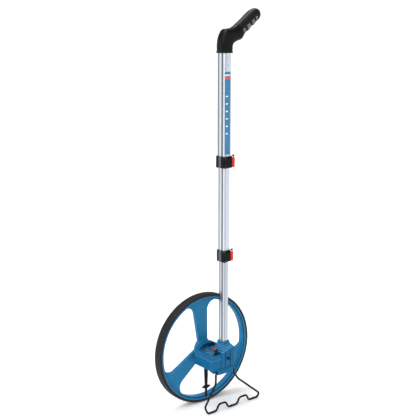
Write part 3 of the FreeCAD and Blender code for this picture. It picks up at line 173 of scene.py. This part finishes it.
def moulded(name, dark, light, edge, rough=(0.34, 0.46), grain=2600.0, gloss=0.4):
    """Injection-moulded plastic: cloudy colour, paler edges that are partly rubbed wear and partly painted
    highlight, and a fine spark texture.
    """
    graph = Graph(name)
    cloud = graph.ramp(graph.noise(38.0, detail=4.0, rough=0.6), ((0.3, dark), (0.7, light)))
    # The paler edge colour is partly rubbed wear and partly a painted highlight where edges catch the light.
    graph.colour(graph.blend(graph.wear(1.3 * MM, 0.84, 0.992), cloud, edge))
    graph.roughness(graph.noise(240.0, detail=2.0), *rough)
    graph.bump(graph.noise(grain, detail=2.0), 0.35, 0.03 * MM)
    graph.set(IOR=1.5, Specular_IOR_Level=gloss)
    return graph.material


def rubber(name, dark, light, rough, grain, depth):
    """Vulcanised rubber: near black, with paler dusty patches and a fine pitted skin."""
    graph = Graph(name)
    graph.colour(graph.ramp(graph.noise(60.0, detail=5.0, rough=0.65), ((0.35, dark), (0.75, light))))
    graph.roughness(graph.noise(420.0, detail=2.0), *rough)
    graph.bump(graph.cells(grain), 0.5, depth)
    graph.set(Specular_IOR_Level=0.2)
    return graph.material


# Stops from the far edge of the tube's -X face, round the near corner at 0.5, to the far edge of
# its -Y face, and their colours: painted shade at the far edge and along the groove, painted
# highlights beside the groove and on the rounded corner, and painted mid and pale tones on the -Y face.
PAINTED_CORNER_LIGHT = ((0.0, (0.22, 0.23, 0.27)), (0.14, (0.25, 0.27, 0.31)), (0.20, (0.66, 0.70, 0.80)),
          (0.32, (0.70, 0.74, 0.82)), (0.36, (0.17, 0.19, 0.21)), (0.455, (0.18, 0.20, 0.22)),
          (0.49, (0.76, 0.79, 0.84)), (0.56, (0.78, 0.81, 0.86)), (0.60, (0.43, 0.46, 0.53)),
          (0.67, (0.47, 0.50, 0.57)), (0.72, (0.60, 0.65, 0.75)), (1.0, (0.60, 0.65, 0.73)))


def brushed(name, tube, shade_tone):
    """Anodised aluminium drawn along Z, with painted highlights and painted shade as bands round the near
    corner.
    """
    graph = Graph(name)
    low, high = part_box(tube)
    across = graph.node("ShaderNodeMath", operation="SUBTRACT")
    graph.link(graph.axis("X"), across.inputs[0])
    graph.link(graph.axis("Y"), across.inputs[1])
    round_corner = graph.level(across.outputs["Value"], 0.0, 1.0, low.x - high.y, high.x - low.y)
    lines = graph.noise(1.0, detail=3.0, rough=0.7, stretch=(700.0, 700.0, 3.0))
    # The whole tube is scaled by a factor that is painted shade, which darkens the lower tube.
    streaks = ((0.25, (0.90 * shade_tone, 0.90 * shade_tone, 0.91 * shade_tone)), (0.75, (shade_tone, shade_tone, shade_tone)))
    # The corner bands are painted highlights and painted shade, multiplied by the brushing streaks.
    graph.colour(graph.multiply(graph.ramp(round_corner, PAINTED_CORNER_LIGHT), graph.ramp(lines, streaks)))
    graph.roughness(graph.noise(55.0, detail=3.0, stretch=(1.0, 1.0, 0.15)), 0.22, 0.32)
    graph.bump(lines, 0.25, 0.02 * MM)
    graph.set(Metallic=1.0, Anisotropic=0.3)
    return graph.material


def steel(name, dark, light, rough):
    """Plated or turned steel with faint marks."""
    graph = Graph(name)
    graph.colour(graph.ramp(graph.noise(260.0, detail=4.0, rough=0.6), ((0.3, dark), (0.7, light))))
    graph.roughness(graph.noise(900.0, detail=2.0), *rough)
    graph.bump(graph.noise(1500.0, detail=2.0), 0.2, 0.02 * MM)
    graph.set(Metallic=1.0)
    return graph.material


def glass(name):
    """The clear window over the drums, with a light haze of fine scratches."""
    graph = Graph(name)
    scratches = graph.noise(700.0, detail=3.0, stretch=(1.0, 0.2, 1.0))
    graph.link(graph.level(scratches, 0.03, 0.14, 0.4, 0.75), graph.shader.inputs["Roughness"])
    graph.colour(graph.ramp(graph.noise(90.0), ((0.3, (0.93, 0.96, 0.97)), (0.7, (0.97, 0.99, 1.0)))))
    graph.set(Transmission_Weight=1.0, IOR=1.49)
    return graph.material


BLUE = moulded("blue_plastic", (0.002, 0.085, 0.200), (0.005, 0.108, 0.240), (0.050, 0.240, 0.440),
               rough=(0.36, 0.48), gloss=0.12)
BLUE_WHEEL = moulded("blue_wheel", (0.008, 0.130, 0.270), (0.014, 0.155, 0.320), (0.050, 0.290, 0.520),
                     rough=(0.32, 0.44), grain=1900.0, gloss=0.14)
# A paler blue for the socket's ribs: painted highlights.
BLUE_RIB_HIGHLIGHT = moulded("blue_rib_highlight", (0.035, 0.190, 0.360), (0.050, 0.220, 0.400), (0.100, 0.320, 0.520),
                   gloss=0.2)
# A paler blue for the housing's lip: a painted highlight.
BLUE_BEAD_HIGHLIGHT = moulded("blue_bead_highlight", (0.008, 0.120, 0.250), (0.014, 0.140, 0.285), (0.070, 0.270, 0.470),
                    gloss=0.2)
# A near-black blue for the blocks in the socket's slots: painted shade.
BLUE_SLOT_SHADE = moulded("blue_slot_shade", (0.000, 0.022, 0.050), (0.001, 0.030, 0.066), (0.010, 0.060, 0.120),
                    gloss=0.1)
BLACK = moulded("black_plastic", (0.001, 0.001, 0.001), (0.003, 0.003, 0.004), (0.03, 0.03, 0.034),
                rough=(0.20, 0.30), gloss=0.13)
STRAP = moulded("clamp_strap", (0.055, 0.057, 0.062), (0.080, 0.082, 0.090), (0.11, 0.11, 0.12))
RED = moulded("red_plastic", (0.50, 0.016, 0.012), (0.60, 0.026, 0.016), (0.74, 0.08, 0.05),
              rough=(0.3, 0.4), gloss=0.2)
# Pale grey for the grip's ridges: painted glints on the black rubber.
GRIP_GLINT = moulded("grip_ridge_glint", (0.16, 0.16, 0.17), (0.26, 0.26, 0.27), (0.40, 0.40, 0.41))
WIRE = moulded("black_wire", (0.003, 0.003, 0.003), (0.007, 0.007, 0.008), (0.02, 0.02, 0.02),
               rough=(0.30, 0.42), gloss=0.12)
LABEL = moulded("label_blue", (0.025, 0.155, 0.31), (0.034, 0.18, 0.345), (0.06, 0.23, 0.42),
                rough=(0.30, 0.38))
LABEL_DARK = moulded("label_dark", (0.018, 0.15, 0.34), (0.024, 0.17, 0.38), (0.04, 0.20, 0.42))
# Dark grey nylon for the gears, darkened as painted shade so the housing's open well reads dark.
NYLON = moulded("gear_nylon", (0.10, 0.10, 0.10), (0.15, 0.15, 0.15), (0.24, 0.24, 0.24))
WHITE = moulded("drum_white", (0.66, 0.64, 0.58), (0.76, 0.74, 0.68), (0.86, 0.84, 0.80))
DRUM_RED = moulded("drum_red", (0.60, 0.10, 0.03), (0.72, 0.15, 0.05), (0.85, 0.30, 0.15))
INK = moulded("digit_ink", (0.004, 0.004, 0.004), (0.010, 0.010, 0.010), (0.02, 0.02, 0.02))
PRINT = moulded("print_white", (0.72, 0.74, 0.76), (0.80, 0.82, 0.84), (0.86, 0.87, 0.88))
TYRE = rubber("tyre_rubber", (0.008, 0.008, 0.010), (0.014, 0.014, 0.017), (0.50, 0.64), 1500.0, 0.05 * MM)
GRIP = rubber("grip_rubber", (0.001, 0.001, 0.001), (0.003, 0.003, 0.004), (0.32, 0.44), 2200.0, 0.03 * MM)
STEEL = steel("steel", (0.32, 0.32, 0.33), (0.50, 0.50, 0.51), (0.24, 0.38))
WINDOW = glass("window_glass")
# The lower tube is darkened to 0.80 as painted shade; the middle and upper tubes keep their full tone.
TUBE_SHADE_TONES = {"lower_tube": 0.80, "middle_tube": 1.0, "upper_tube": 1.0}

FINISH = {
    "wheel_rim": BLUE_WHEEL, "tyre": TYRE, "wheel_bearings": STEEL, "drive_gear": NYLON, "hub_cap": BLUE,
    "axle": STEEL, "axle_nut": STEEL, "axle_washer": STEEL, "gearbox_base": BLUE, "gearbox_cover": BLUE,
    "housing_screws": STEEL, "pole_socket": BLUE, "socket_knob": BLACK, "pointer": BLACK,
    "stand_bracket": BLUE, "stand_wire": WIRE, "lower_guide": BLACK, "middle_guide": BLACK,
    "tube_label": LABEL, "tube_rivets": STEEL, "grip_core": GRIP, "grip_sleeve": GRIP,
    "counter_case": BLUE, "counter_window": WINDOW, "counter_gear": NYLON, "counter_shaft": STEEL,
    "transfer_shaft": STEEL, "reset_lever": BLACK,
}
for tube, shade_tone in TUBE_SHADE_TONES.items():
    FINISH[tube] = brushed(f"aluminium_{tube.removesuffix('_tube')}", tube, shade_tone)
for stage in ("lower", "upper"):
    FINISH.update({f"{stage}_clamp": BLACK, f"{stage}_clamp_pad": BLACK, f"{stage}_lever": BLACK,
                   f"{stage}_lever_tip": RED, f"{stage}_lever_pin": STEEL, f"{stage}_clamp_screws": STEEL})
for name in NODES:
    if name.startswith("digit_drum"):
        FINISH[name] = DRUM_RED if name.endswith("1") else WHITE
    elif name.startswith("transfer_pinion"):
        FINISH[name] = NYLON
for name, node in NODES.items():
    node.data.materials.clear()
    node.data.materials.append(FINISH[name])


# ---- mesh helpers ----

def turns(count):
    """Angles spread evenly round a circle."""
    return [2 * math.pi * i / count for i in range(count)]


def middle(box):
    """The centre of a node's box."""
    low, high = box
    return Vector(((low.x + high.x) / 2, (low.y + high.y) / 2, (low.z + high.z) / 2))


def add(name, mesh, material, body, sharp=40.0):
    """Put a finished mesh in the scene, smooth except at sharp edges, riding on a body."""
    made = bpy.data.objects.new(name, mesh)
    bpy.context.scene.collection.objects.link(made)
    mesh.materials.append(material)
    mesh.shade_smooth()
    mesh.set_sharp_from_angle(angle=math.radians(sharp))
    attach(made, body)
    return made


def from_rings(name, rings, closed=False):
    """A mesh from rings of points, closed on itself or capped at both ends."""
    count = len(rings[0])
    points = [tuple(point) for ring in rings for point in ring]
    faces = []
    for i in range(len(rings) if closed else len(rings) - 1):
        here, there = i * count, (i + 1) % len(rings) * count
        for j in range(count):
            k = (j + 1) % count
            faces.append((here + j, here + k, there + k, there + j))
    if not closed:
        faces.append(tuple(reversed(range(count))))
        faces.append(tuple(range(len(points) - count, len(points))))
    mesh = bpy.data.meshes.new(name)
    mesh.from_pydata(points, [], faces)
    shape = bmesh.new()
    shape.from_mesh(mesh)
    bmesh.ops.recalc_face_normals(shape, faces=shape.faces)
    shape.to_mesh(mesh)
    shape.free()
    return mesh


def rounded_block(name, low, high, radius, steps):
    """A block between two corners with every edge rounded."""
    shape = bmesh.new()
    bmesh.ops.create_cube(shape, size=1.0)
    for vert in shape.verts:
        vert.co = Vector(end if side > 0 else start for side, start, end in zip(vert.co, low, high))
    bmesh.ops.bevel(shape, geom=shape.edges[:], offset=radius, segments=steps, profile=0.5,
                    affect="EDGES")
    mesh = bpy.data.meshes.new(name)
    shape.to_mesh(mesh)
    shape.free()
    return mesh


def sideways(path, i):
    """The level direction to the right of a path at one of its points."""
    ahead = path[min(i + 1, len(path) - 1)] - path[max(i - 1, 0)]
    return Vector((ahead.y, -ahead.x, 0.0)).normalized()


def moulding(name, path, reach, rise, count, material):
    """An oval bead along a path on the housing: how far it stands out, and half its height."""
    rings = []
    for i, point in enumerate(path):
        out = sideways(path, i)
        rings.append([point + out * reach * math.cos(turn) + Vector((0.0, 0.0, rise * math.sin(turn)))
                      for turn in turns(count)])
    add(name, from_rings(name, rings), material, "frame")


def soften(name, width):
    """Round a CAD node's sharp edges as a mould does."""
    node = NODES[name]
    weld = node.modifiers.new("weld", "WELD")
    weld.merge_threshold = 0.002 * MM
    bevel = node.modifiers.new("edges", "BEVEL")
    bevel.width = width
    bevel.segments = 2
    bevel.limit_method = "ANGLE"
    bevel.angle_limit = math.radians(35.0)
    bevel.harden_normals = True


POLE = middle(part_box("upper_tube"))


# ---- tyre ----

def tyre():
    """The rubber tyre: rounded shoulders and a tread with three fine grooves."""
    low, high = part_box("tyre")
    axle = middle((low, high))
    radius, half = (high.x - low.x) / 2, (high.y - low.y) / 2
    bed = radius - 8.1 * MM
    shoulder, shoulder_steps, tread_rise = 3.2 * MM, 6, 0.25 * MM
    groove, depth = 0.7 * MM, 0.6 * MM
    side = [(bed, -half + 0.4 * MM), (bed + 2.0 * MM, -half)]
    for i in range(shoulder_steps + 1):
        turn = math.pi / 2 * i / shoulder_steps
        side.append((radius - shoulder + shoulder * math.sin(turn) - tread_rise,
                     -half + shoulder - shoulder * math.cos(turn)))
    tread = []
    for centre in (-0.42 * half, 0.0, 0.42 * half):
        tread += [(radius, centre - groove), (radius - depth, centre - 0.6 * groove),
                  (radius - depth, centre + 0.6 * groove), (radius, centre + groove)]
    profile = side + tread + [(r, -y) for r, y in reversed(side)]
    rings = [[(axle.x + r * math.cos(turn), axle.y + y, axle.z + r * math.sin(turn)) for r, y in profile]
             for turn in turns(256)]
    made = add("tyre_tread", from_rings("tyre_tread", rings, closed=True), TYRE, "wheel", 30.0)
    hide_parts("tyre")


# ---- handle ----

# Each section: its outer point and its inner point, both (across, up) in millimetres from the
# pole's axis at the handle's lower rim, then half its breadth and how square it is.
HANDLE = (
    ((-18.2, 0.0), (19.2, 0.0), 18.0, 4.2), ((-18.2, 3.4), (19.2, 3.4), 18.0, 4.2),
    ((-17.2, 4.4), (18.4, 4.2), 17.0, 4.2), ((-17.2, 13.0), (18.6, 9.0), 17.0, 4.2),
    ((-17.0, 25.0), (19.0, 14.0), 17.0, 4.0), ((-15.0, 38.5), (20.5, 19.0), 17.0, 3.7),
    ((-10.0, 51.0), (23.5, 23.0), 17.2, 3.4), ((-2.0, 60.5), (28.5, 26.0), 17.2, 3.2),
    ((10.5, 62.3), (34.5, 28.5), 16.8, 3.0), ((23.0, 64.6), (43.0, 31.0), 16.2, 2.8),
    ((34.0, 70.0), (53.5, 34.5), 15.8, 2.6), ((45.0, 77.5), (61.5, 46.0), 15.2, 2.5),
    ((63.0, 90.5), (81.0, 61.5), 15.2, 2.5), ((80.0, 103.5), (97.0, 74.0), 16.2, 2.5),
    ((92.0, 110.0), (107.0, 82.0), 16.8, 2.5), ((101.0, 113.2), (113.0, 88.5), 16.0, 2.4),
    ((107.5, 111.8), (115.5, 94.5), 12.5, 2.3), ((112.5, 107.0), (116.0, 101.0), 6.0, 2.2),
)
HANDLE_COLUMNS = list(zip(*[(*outer, *inner, breadth, square) for outer, inner, breadth, square in HANDLE]))
HANDLE_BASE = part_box("upper_tube")[1].z - 3.0 * MM
HANDLE_STEPS = 30       # rings from one section to the next
HANDLE_SIDES = 56       # points round a ring

# Places in the list of sections, and sizes in millimetres.
SHELL_END, SHELL_OVERLAP = 10.4, 0.4
FINGER_FIRST, FINGER_LAST, FINGER_FADE = 10.7, 14.4, 0.3
FINGER_PITCH, FINGER_DEPTH = 22.0, 1.7
RIB_PITCH, RIB_DEPTH = 3.2, 0.28
SLEEVE_SWELL = 0.45

RIDGE_GROUPS, RIDGES_EACH = 4, 3
RIDGE_FIRST, GROUP_PITCH, RIDGE_PITCH, RIDGE_WIDTH = 10.75, 0.84, 0.17, 0.06
RIDGE_FOOT, RIDGE_TOP = 0.3, 1.1


def smooth_value(values, at):
    """A value between the listed ones, on a Catmull-Rom curve."""
    i = min(int(at), len(values) - 2)
    t = at - i
    before, here = values[max(i - 1, 0)], values[i]
    there, after = values[i + 1], values[min(i + 2, len(values) - 1)]
    return 0.5 * (2 * here + (there - before) * t + (2 * before - 5 * here + 4 * there - after) * t * t
                  + (3 * here - before - 3 * there + after) * t ** 3)


def finger_relief(at, along):
    """The depth of the finger wave and the height of the fine rib, at a place on the handle."""
    if not FINGER_FIRST < at < FINGER_LAST:
        return 0.0, 0.0
    fade = min(1.0, (at - FINGER_FIRST) / FINGER_FADE, (FINGER_LAST - at) / FINGER_FADE)
    wave = math.cos(2 * math.pi * along / FINGER_PITCH)
    rib = math.sin(2 * math.pi * along / RIB_PITCH) * max(0.0, -wave)
    return fade * FINGER_DEPTH * wave, fade * RIB_DEPTH * rib


def handle_ring(at, along, swell):
    """The handle's section at a place in the list, with finger waves and ribs on its inner side."""
    out_x, out_z, in_x, in_z, breadth, square = (smooth_value(column, at) for column in HANDLE_COLUMNS)
    centre = Vector(((out_x + in_x) / 2, 0.0, (out_z + in_z) / 2))
    rise = Vector((out_x, 0.0, out_z)) - centre
    up = rise.normalized()
    wave, rib = finger_relief(at, along)
    ring = []
    for turn in turns(HANDLE_SIDES):
        c, s = math.cos(turn), math.sin(turn)
        across = (breadth + swell) * math.copysign(abs(c) ** (2 / square), c)
        height = (rise.length + swell) * math.copysign(abs(s) ** (2 / square), s)
        inner = max(0.0, -s)
        side = max(0.0, 0.75 - abs(s + 0.25))
        normal = (up * s + Vector((0.0, c, 0.0))).normalized()
        point = centre + up * (height - wave * inner * inner) + Vector((0.0, across, 0.0))
        point += normal * rib * min(1.0, 2.0 * side + inner)
        ring.append(Vector((POLE.x + point.x * MM, POLE.y + point.y * MM, HANDLE_BASE + point.z * MM)))
    return ring


def centre_lengths():
    """The length along the handle's centre line at each of its steps, in millimetres."""
    centres = [Vector((outer[0] + inner[0], outer[1] + inner[1])) / 2 for outer, inner, *_ in HANDLE]
    lengths = [0.0]
    for here, there in zip(centres, centres[1:]):
        lengths += [lengths[-1] + (there - here).length * i / HANDLE_STEPS
                    for i in range(1, HANDLE_STEPS + 1)]
    return lengths


def handle():
    """The black shell over the pole's top and the soft sleeve with its finger grooves."""
    lengths = centre_lengths()
    join = int(SHELL_END * HANDLE_STEPS)
    shell_steps = range(0, join + int(SHELL_OVERLAP * HANDLE_STEPS), 3)
    shell = [handle_ring(i / HANDLE_STEPS, lengths[i], 0.0) for i in shell_steps]
    sleeve = [handle_ring(i / HANDLE_STEPS, lengths[i], SLEEVE_SWELL) for i in range(join, len(lengths))]
    made = add("handle_shell", from_rings("handle_shell", shell), BLACK, "upper", 50.0)
    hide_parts("grip_core")
    made = add("handle_sleeve", from_rings("handle_sleeve", sleeve), GRIP, "upper", 60.0)
    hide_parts("grip_sleeve")


def handle_marks():
    """Short raised ridges in the finger grooves, from the -Y side some way round to the inner side, pale grey
    as painted glints.
    """
    arc = range(HANDLE_SIDES // 2, HANDLE_SIDES // 2 + 7)
    for group in range(RIDGE_GROUPS):
        for line in range(RIDGES_EACH):
            start = RIDGE_FIRST + GROUP_PITCH * group + RIDGE_PITCH * line
            corners = ((start, RIDGE_FOOT), (start + RIDGE_WIDTH, RIDGE_FOOT),
                       (start + RIDGE_WIDTH, RIDGE_TOP), (start, RIDGE_TOP))
            edges = [handle_ring(at, 0.0, swell) for at, swell in corners]
            name = f"handle_ridge_{RIDGES_EACH * group + line + 1}"
            add(name, from_rings(name, [[edge[i] for edge in edges] for i in arc]), GRIP_GLINT, "upper")


# ---- clamps ----

TIP_INWARD, TIP_SHORTER = 6.5 * MM, 2.5 * MM     # how the red tip differs from its plain CAD block


def lever_grip(stage):
    """The lever's red thumb piece."""
    name = f"{stage}_lever_grip"
    low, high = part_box(f"{stage}_lever_tip")
    lever_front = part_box(f"{stage}_lever")[0].y
    start = Vector((low.x - TIP_INWARD, lever_front - 0.5 * MM, low.z))
    end = Vector((high.x - TIP_INWARD - TIP_SHORTER, high.y, high.z))
    made = add(name, rounded_block(name, start, end, 2.4 * MM, 5), RED, f"{stage}_latch")
    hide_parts(f"{stage}_lever_tip")


def clamp_stop(stage, body):
    """The black stop above the lever's tip."""
    name = f"{stage}_clamp_stop"
    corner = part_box(f"{stage}_lever_tip")[1]
    size = Vector((5.5, 5.0, 6.0)) * MM
    start = corner + Vector((-14.0, -3.5, 0.6)) * MM
    block = rounded_block(name, start, start + size, 2.0 * MM, 4)
    add(name, block, BLACK, body)


def clamp_strap(stage, body):
    """The ridged grey strap that closes the collar's slit, on its -X side."""
    name = f"{stage}_clamp_strap"
    low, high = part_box(f"{stage}_clamp")
    ridges, ridge_steps, ridge_height = 9, 8, 0.25 * MM
    margin, round_off = 0.6 * MM, 0.3 * MM
    back, front = POLE.y + 3.6 * MM, POLE.y - 6.2 * MM
    wall, skin = low.x + 2.7 * MM, low.x + 0.4 * MM
    levels = ridges * ridge_steps
    rings = []
    for i in range(levels + 1):
        z = low.z + margin + (high.z - low.z - 2 * margin) * i / levels
        out = skin - ridge_height * math.cos(2 * math.pi * i / ridge_steps)
        rings.append([(wall, back, z), (out + round_off, back, z), (out, back - 2 * round_off, z),
                      (out, front + 2 * round_off, z), (out + round_off, front, z), (wall, front, z)])
    add(name, from_rings(name, rings), STRAP, body, 60.0)


# ---- label ----

def label():
    """The label's film: its dark right edge, two plain bands at its top and a row of even ticks."""
    low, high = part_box("tube_label")
    width, height = high.x - low.x, high.z - low.z

    def bar(name, x, z, thick, material):
        """A bar between two parts of the label's width and two parts of its height."""
        start = Vector((low.x + x[0] * width, low.y - thick, low.z + z[0] * height))
        end = Vector((low.x + x[1] * width, low.y + 0.05 * MM, low.z + z[1] * height))
        add(name, rounded_block(name, start, end, 0.06 * MM, 2), material, "upper")

    film, print_film = 0.12 * MM, 0.14 * MM
    bar("label_edge", (0.80, 0.995), (0.002, 0.60), film, LABEL_DARK)
    bar("label_band_1", (0.04, 0.96), (0.955, 0.967), print_film, PRINT)
    bar("label_band_2", (0.04, 0.96), (0.915, 0.945), print_film, RED)
    for i in range(6):
        foot = 0.25 + 0.09 * i
        bar(f"label_tick_{i + 1}", (0.22, 0.56), (foot, foot + 0.014), print_film, PRINT)


# ---- counter ----

DRUM_COUNT = 5
DRUM_WIDTH = 5.6 * MM
DIGIT_SIZE, DIGIT_DEPTH, DIGIT_LIFT = 5.4 * MM, 0.06 * MM, 0.02 * MM
ZERO_TURN = math.radians(45)    # how far the figure 0 stands round the drum from its top
LONG_EDGE = 0.9 * MM            # edges longer than this are divided before they are bent


def flat_digit(figure):
    """One figure as a flat bmesh, divided finely enough to be bent."""
    text = bpy.data.curves.new("figure", "FONT")
    text.body = str(figure)
    text.size = DIGIT_SIZE
    text.extrude = DIGIT_DEPTH
    text.align_x = "CENTER"
    text.align_y = "CENTER"
    flat = bpy.data.objects.new("figure", text)
    bpy.context.scene.collection.objects.link(flat)
    mesh = bpy.data.meshes.new_from_object(flat)
    bpy.data.objects.remove(flat)
    bpy.data.curves.remove(text)
    shape = bmesh.new()
    shape.from_mesh(mesh)
    bpy.data.meshes.remove(mesh)
    bmesh.ops.remove_doubles(shape, verts=shape.verts, dist=0.001 * MM)
    bmesh.ops.triangulate(shape, faces=shape.faces)
    long = [edge for edge in shape.edges if edge.calc_length() > LONG_EDGE]
    bmesh.ops.subdivide_edges(shape, edges=long, cuts=3, use_grid_fill=True)
    bmesh.ops.triangulate(shape, faces=shape.faces)
    return shape


def digits(index):
    """The ten figures round one drum, bent to its rim."""
    low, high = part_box(f"digit_drum_{index}")
    radius = (high.x - low.x) / 2
    centre = Vector(((low.x + high.x) / 2, low.y + DRUM_WIDTH / 2, (low.z + high.z) / 2))
    mesh = bpy.data.meshes.new(f"figures_{index}")
    whole = bmesh.new()
    for figure, figure_turn in enumerate(turns(10)):
        shape = flat_digit(figure)
        for vert in shape.verts:
            turn = figure_turn + ZERO_TURN + vert.co.y / radius
            out = radius + vert.co.z + DIGIT_LIFT
            vert.co = (centre.x - out * math.sin(turn), centre.y + vert.co.x, centre.z + out * math.cos(turn))
        shape.to_mesh(mesh)
        shape.free()
        whole.from_mesh(mesh)
    whole.to_mesh(mesh)
    whole.free()
    add(f"figures_{index}", mesh, INK if index > 1 else PRINT, f"drum_{index}")


def counter_accent():
    """The red bar along the counter's hood, on the pole's side of the window."""
    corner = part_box("counter_case")[1]
    start = corner + Vector((-0.5, -27.0, -2.0)) * MM
    end = corner + Vector((4.0, -10.0, 2.2)) * MM
    add("counter_stop", rounded_block("counter_stop", start, end, 0.9 * MM, 3), RED, "frame")


# ---- housing and socket ----

def housing_bead():
    """The raised lip where the housing's cover meets its base, round the free sides, in a paler blue as a
    painted highlight along the lip.
    """
    low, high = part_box("gearbox_cover")
    socket_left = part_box("pole_socket")[0].x
    corner, corner_steps = 6.0 * MM, 8
    centre = Vector((low.x + corner, low.y + corner, low.z))
    path = [Vector((low.x, high.y - 1.5 * MM, low.z))]
    for i in range(corner_steps + 1):
        turn = math.pi / 2 * i / corner_steps
        path.append(centre - corner * Vector((math.cos(turn), math.sin(turn), 0.0)))
    path.append(Vector((socket_left - 0.6 * MM, low.y, low.z)))
    moulding("housing_bead", path, 0.9 * MM, 1.5 * MM, 12, BLUE_BEAD_HIGHLIGHT)


def axle_level():
    return middle(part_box("axle")).z


def socket_ribs():
    """Four ribs that step up the socket's skirt, parallel to its sloping top, in a paler blue as painted
    highlights on the ribs.
    """
    low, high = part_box("pole_socket")
    tube_low, tube_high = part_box("lower_tube")
    half = (tube_high.x - tube_low.x) / 2 + 1.6 * MM
    rim = high.z - 6.0 * MM
    left_level, right_level = axle_level() + 12.0 * MM, axle_level() + 25.0 * MM
    base = (Vector((low.x, high.y, left_level)), Vector((low.x, low.y, left_level)),
            Vector((high.x - 4.5 * MM, low.y, right_level)))
    top = (Vector((POLE.x - half, POLE.y + half, rim)), Vector((POLE.x - half, POLE.y - half, rim)),
           Vector((POLE.x + half, POLE.y - half, rim)))
    for number in range(4):
        part = 0.05 + 0.24 * number
        back, corner, right = (start.lerp(end, part) for start, end in zip(base, top))
        path = [back.lerp(corner, i / 6) for i in range(6)] + [corner.lerp(right, i / 6) for i in range(7)]
        moulding(f"socket_rib_{number + 1}", path, 1.6 * MM, 1.3 * MM, 10, BLUE_RIB_HIGHLIGHT)


def socket_slots():
    """Dark blocks set in the two upright slots of the socket's -Y face, as painted shade in the slots."""
    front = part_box("pole_socket")[0].y
    half_width = 1.9 * MM
    for number, (across, top) in enumerate(((-8.0 * MM, 8.0 * MM), (8.5 * MM, 17.0 * MM))):
        centre = POLE.x + across
        start = Vector((centre - half_width, front + 1.2 * MM, axle_level() - 30.0 * MM))
        end = Vector((centre + half_width, front + 4.6 * MM, axle_level() + top))
        name = f"socket_slot_{number + 1}"
        add(name, rounded_block(name, start, end, 0.4 * MM, 2), BLUE_SLOT_SHADE, "frame")


# ---- stage ----

def floor():
    """A wide sheet of pale paper, just under the wheel."""
    mesh = bpy.data.meshes.new("floor")
    reach = 60.0
    level = -1.0 * MM
    corners = ((-reach, -reach), (reach, -reach), (reach, reach), (-reach, reach))
    mesh.from_pydata([(x, y, level) for x, y in corners], [], [(0, 1, 2, 3)])
    made = bpy.data.objects.new("floor", mesh)
    bpy.context.scene.collection.objects.link(made)
    paper = Graph("floor_paper")
    paper.colour(paper.ramp(paper.noise(1.5), ((0.3, (0.95, 0.95, 0.95)), (0.7, (0.97, 0.97, 0.97)))))
    paper.set(Roughness=0.9)
    mesh.materials.append(paper.material)


def studio():
    """The surroundings: a bright band round the horizon and a dimmer ceiling."""
    world = bpy.data.worlds.new("studio")
    bpy.context.scene.world = world
    world.use_nodes = True
    tree = world.node_tree
    where = tree.nodes.new("ShaderNodeTexCoord")
    parts = tree.nodes.new("ShaderNodeSeparateXYZ")
    band = tree.nodes.new("ShaderNodeValToRGB")
    heights = ((0.0, 1.12), (0.10, 1.12), (0.30, 0.50), (1.0, 0.60))
    set_stops(band.color_ramp, [(position, (value, value, value)) for position, value in heights])
    tree.links.new(where.outputs["Generated"], parts.inputs["Vector"])
    tree.links.new(parts.outputs["Z"], band.inputs["Fac"])
    tree.links.new(band.outputs["Color"], tree.nodes["Background"].inputs["Color"])


def lamp(name, kind, direction, energy):
    """A light that shines along a direction."""
    data = bpy.data.lights.new(name, kind)
    data.energy = energy
    made = bpy.data.objects.new(name, data)
    made.rotation_euler = Vector(direction).to_track_quat("-Z", "Y").to_euler()
    bpy.context.scene.collection.objects.link(made)
    return made


def lights():
    """A broad key light from the front left, a weak fill from the right and a panel high behind."""
    lamp("key", "SUN", (0.74, 0.22, -0.80), 2.5).data.angle = math.radians(80.0)
    lamp("fill", "SUN", (0.15, 0.90, -0.50), 0.45).data.angle = math.radians(60.0)
    panel = lamp("overhead", "AREA", (0.15, -0.40, -0.91), 16.0)
    panel.location = (-0.12, 0.55, 2.4)
    panel.data.shape = "RECTANGLE"
    panel.data.size = 1.6
    panel.data.size_y = 0.5
    bpy.context.scene.view_settings.view_transform = "Standard"


def camera():
    """A long lens at the height of the handle's top, looking down at the -X, -Y corner."""
    distance, azimuth, height = 2.36678, math.radians(-129.633), 1.0945
    tilt, pan = math.radians(77.62), math.radians(-38.6)
    data = bpy.data.cameras.new("camera")
    data.sensor_width = 36.0
    data.lens = 77.88
    made = bpy.data.objects.new("camera", data)
    made.location = (POLE.x + distance * math.cos(azimuth), POLE.y + distance * math.sin(azimuth), height)
    made.rotation_euler = (tilt, 0.0, pan)
    bpy.context.scene.collection.objects.link(made)
    bpy.context.scene.camera = made


# How far each moulded node's edges are rounded, in millimetres.
SOFT_EDGES = {
    "wheel_rim": 0.9, "gearbox_base": 0.9, "gearbox_cover": 0.9, "pole_socket": 0.4, "stand_bracket": 0.6,
    "pointer": 0.4, "counter_case": 0.4, "hub_cap": 0.6, "lower_clamp": 0.7, "upper_clamp": 0.7,
    "lower_lever": 0.7, "upper_lever": 0.7, "reset_lever": 0.5,
}

tyre()
handle()
handle_marks()
for stage, body in (("lower", "middle"), ("upper", "upper")):
    lever_grip(stage)
    clamp_stop(stage, body)
    clamp_strap(stage, body)
label()
for drum in range(1, DRUM_COUNT + 1):
    digits(drum)
counter_accent()
housing_bead()
socket_ribs()
socket_slots()
for name, width in SOFT_EDGES.items():
    soften(name, width * MM)
floor()
studio()
lights()
camera()
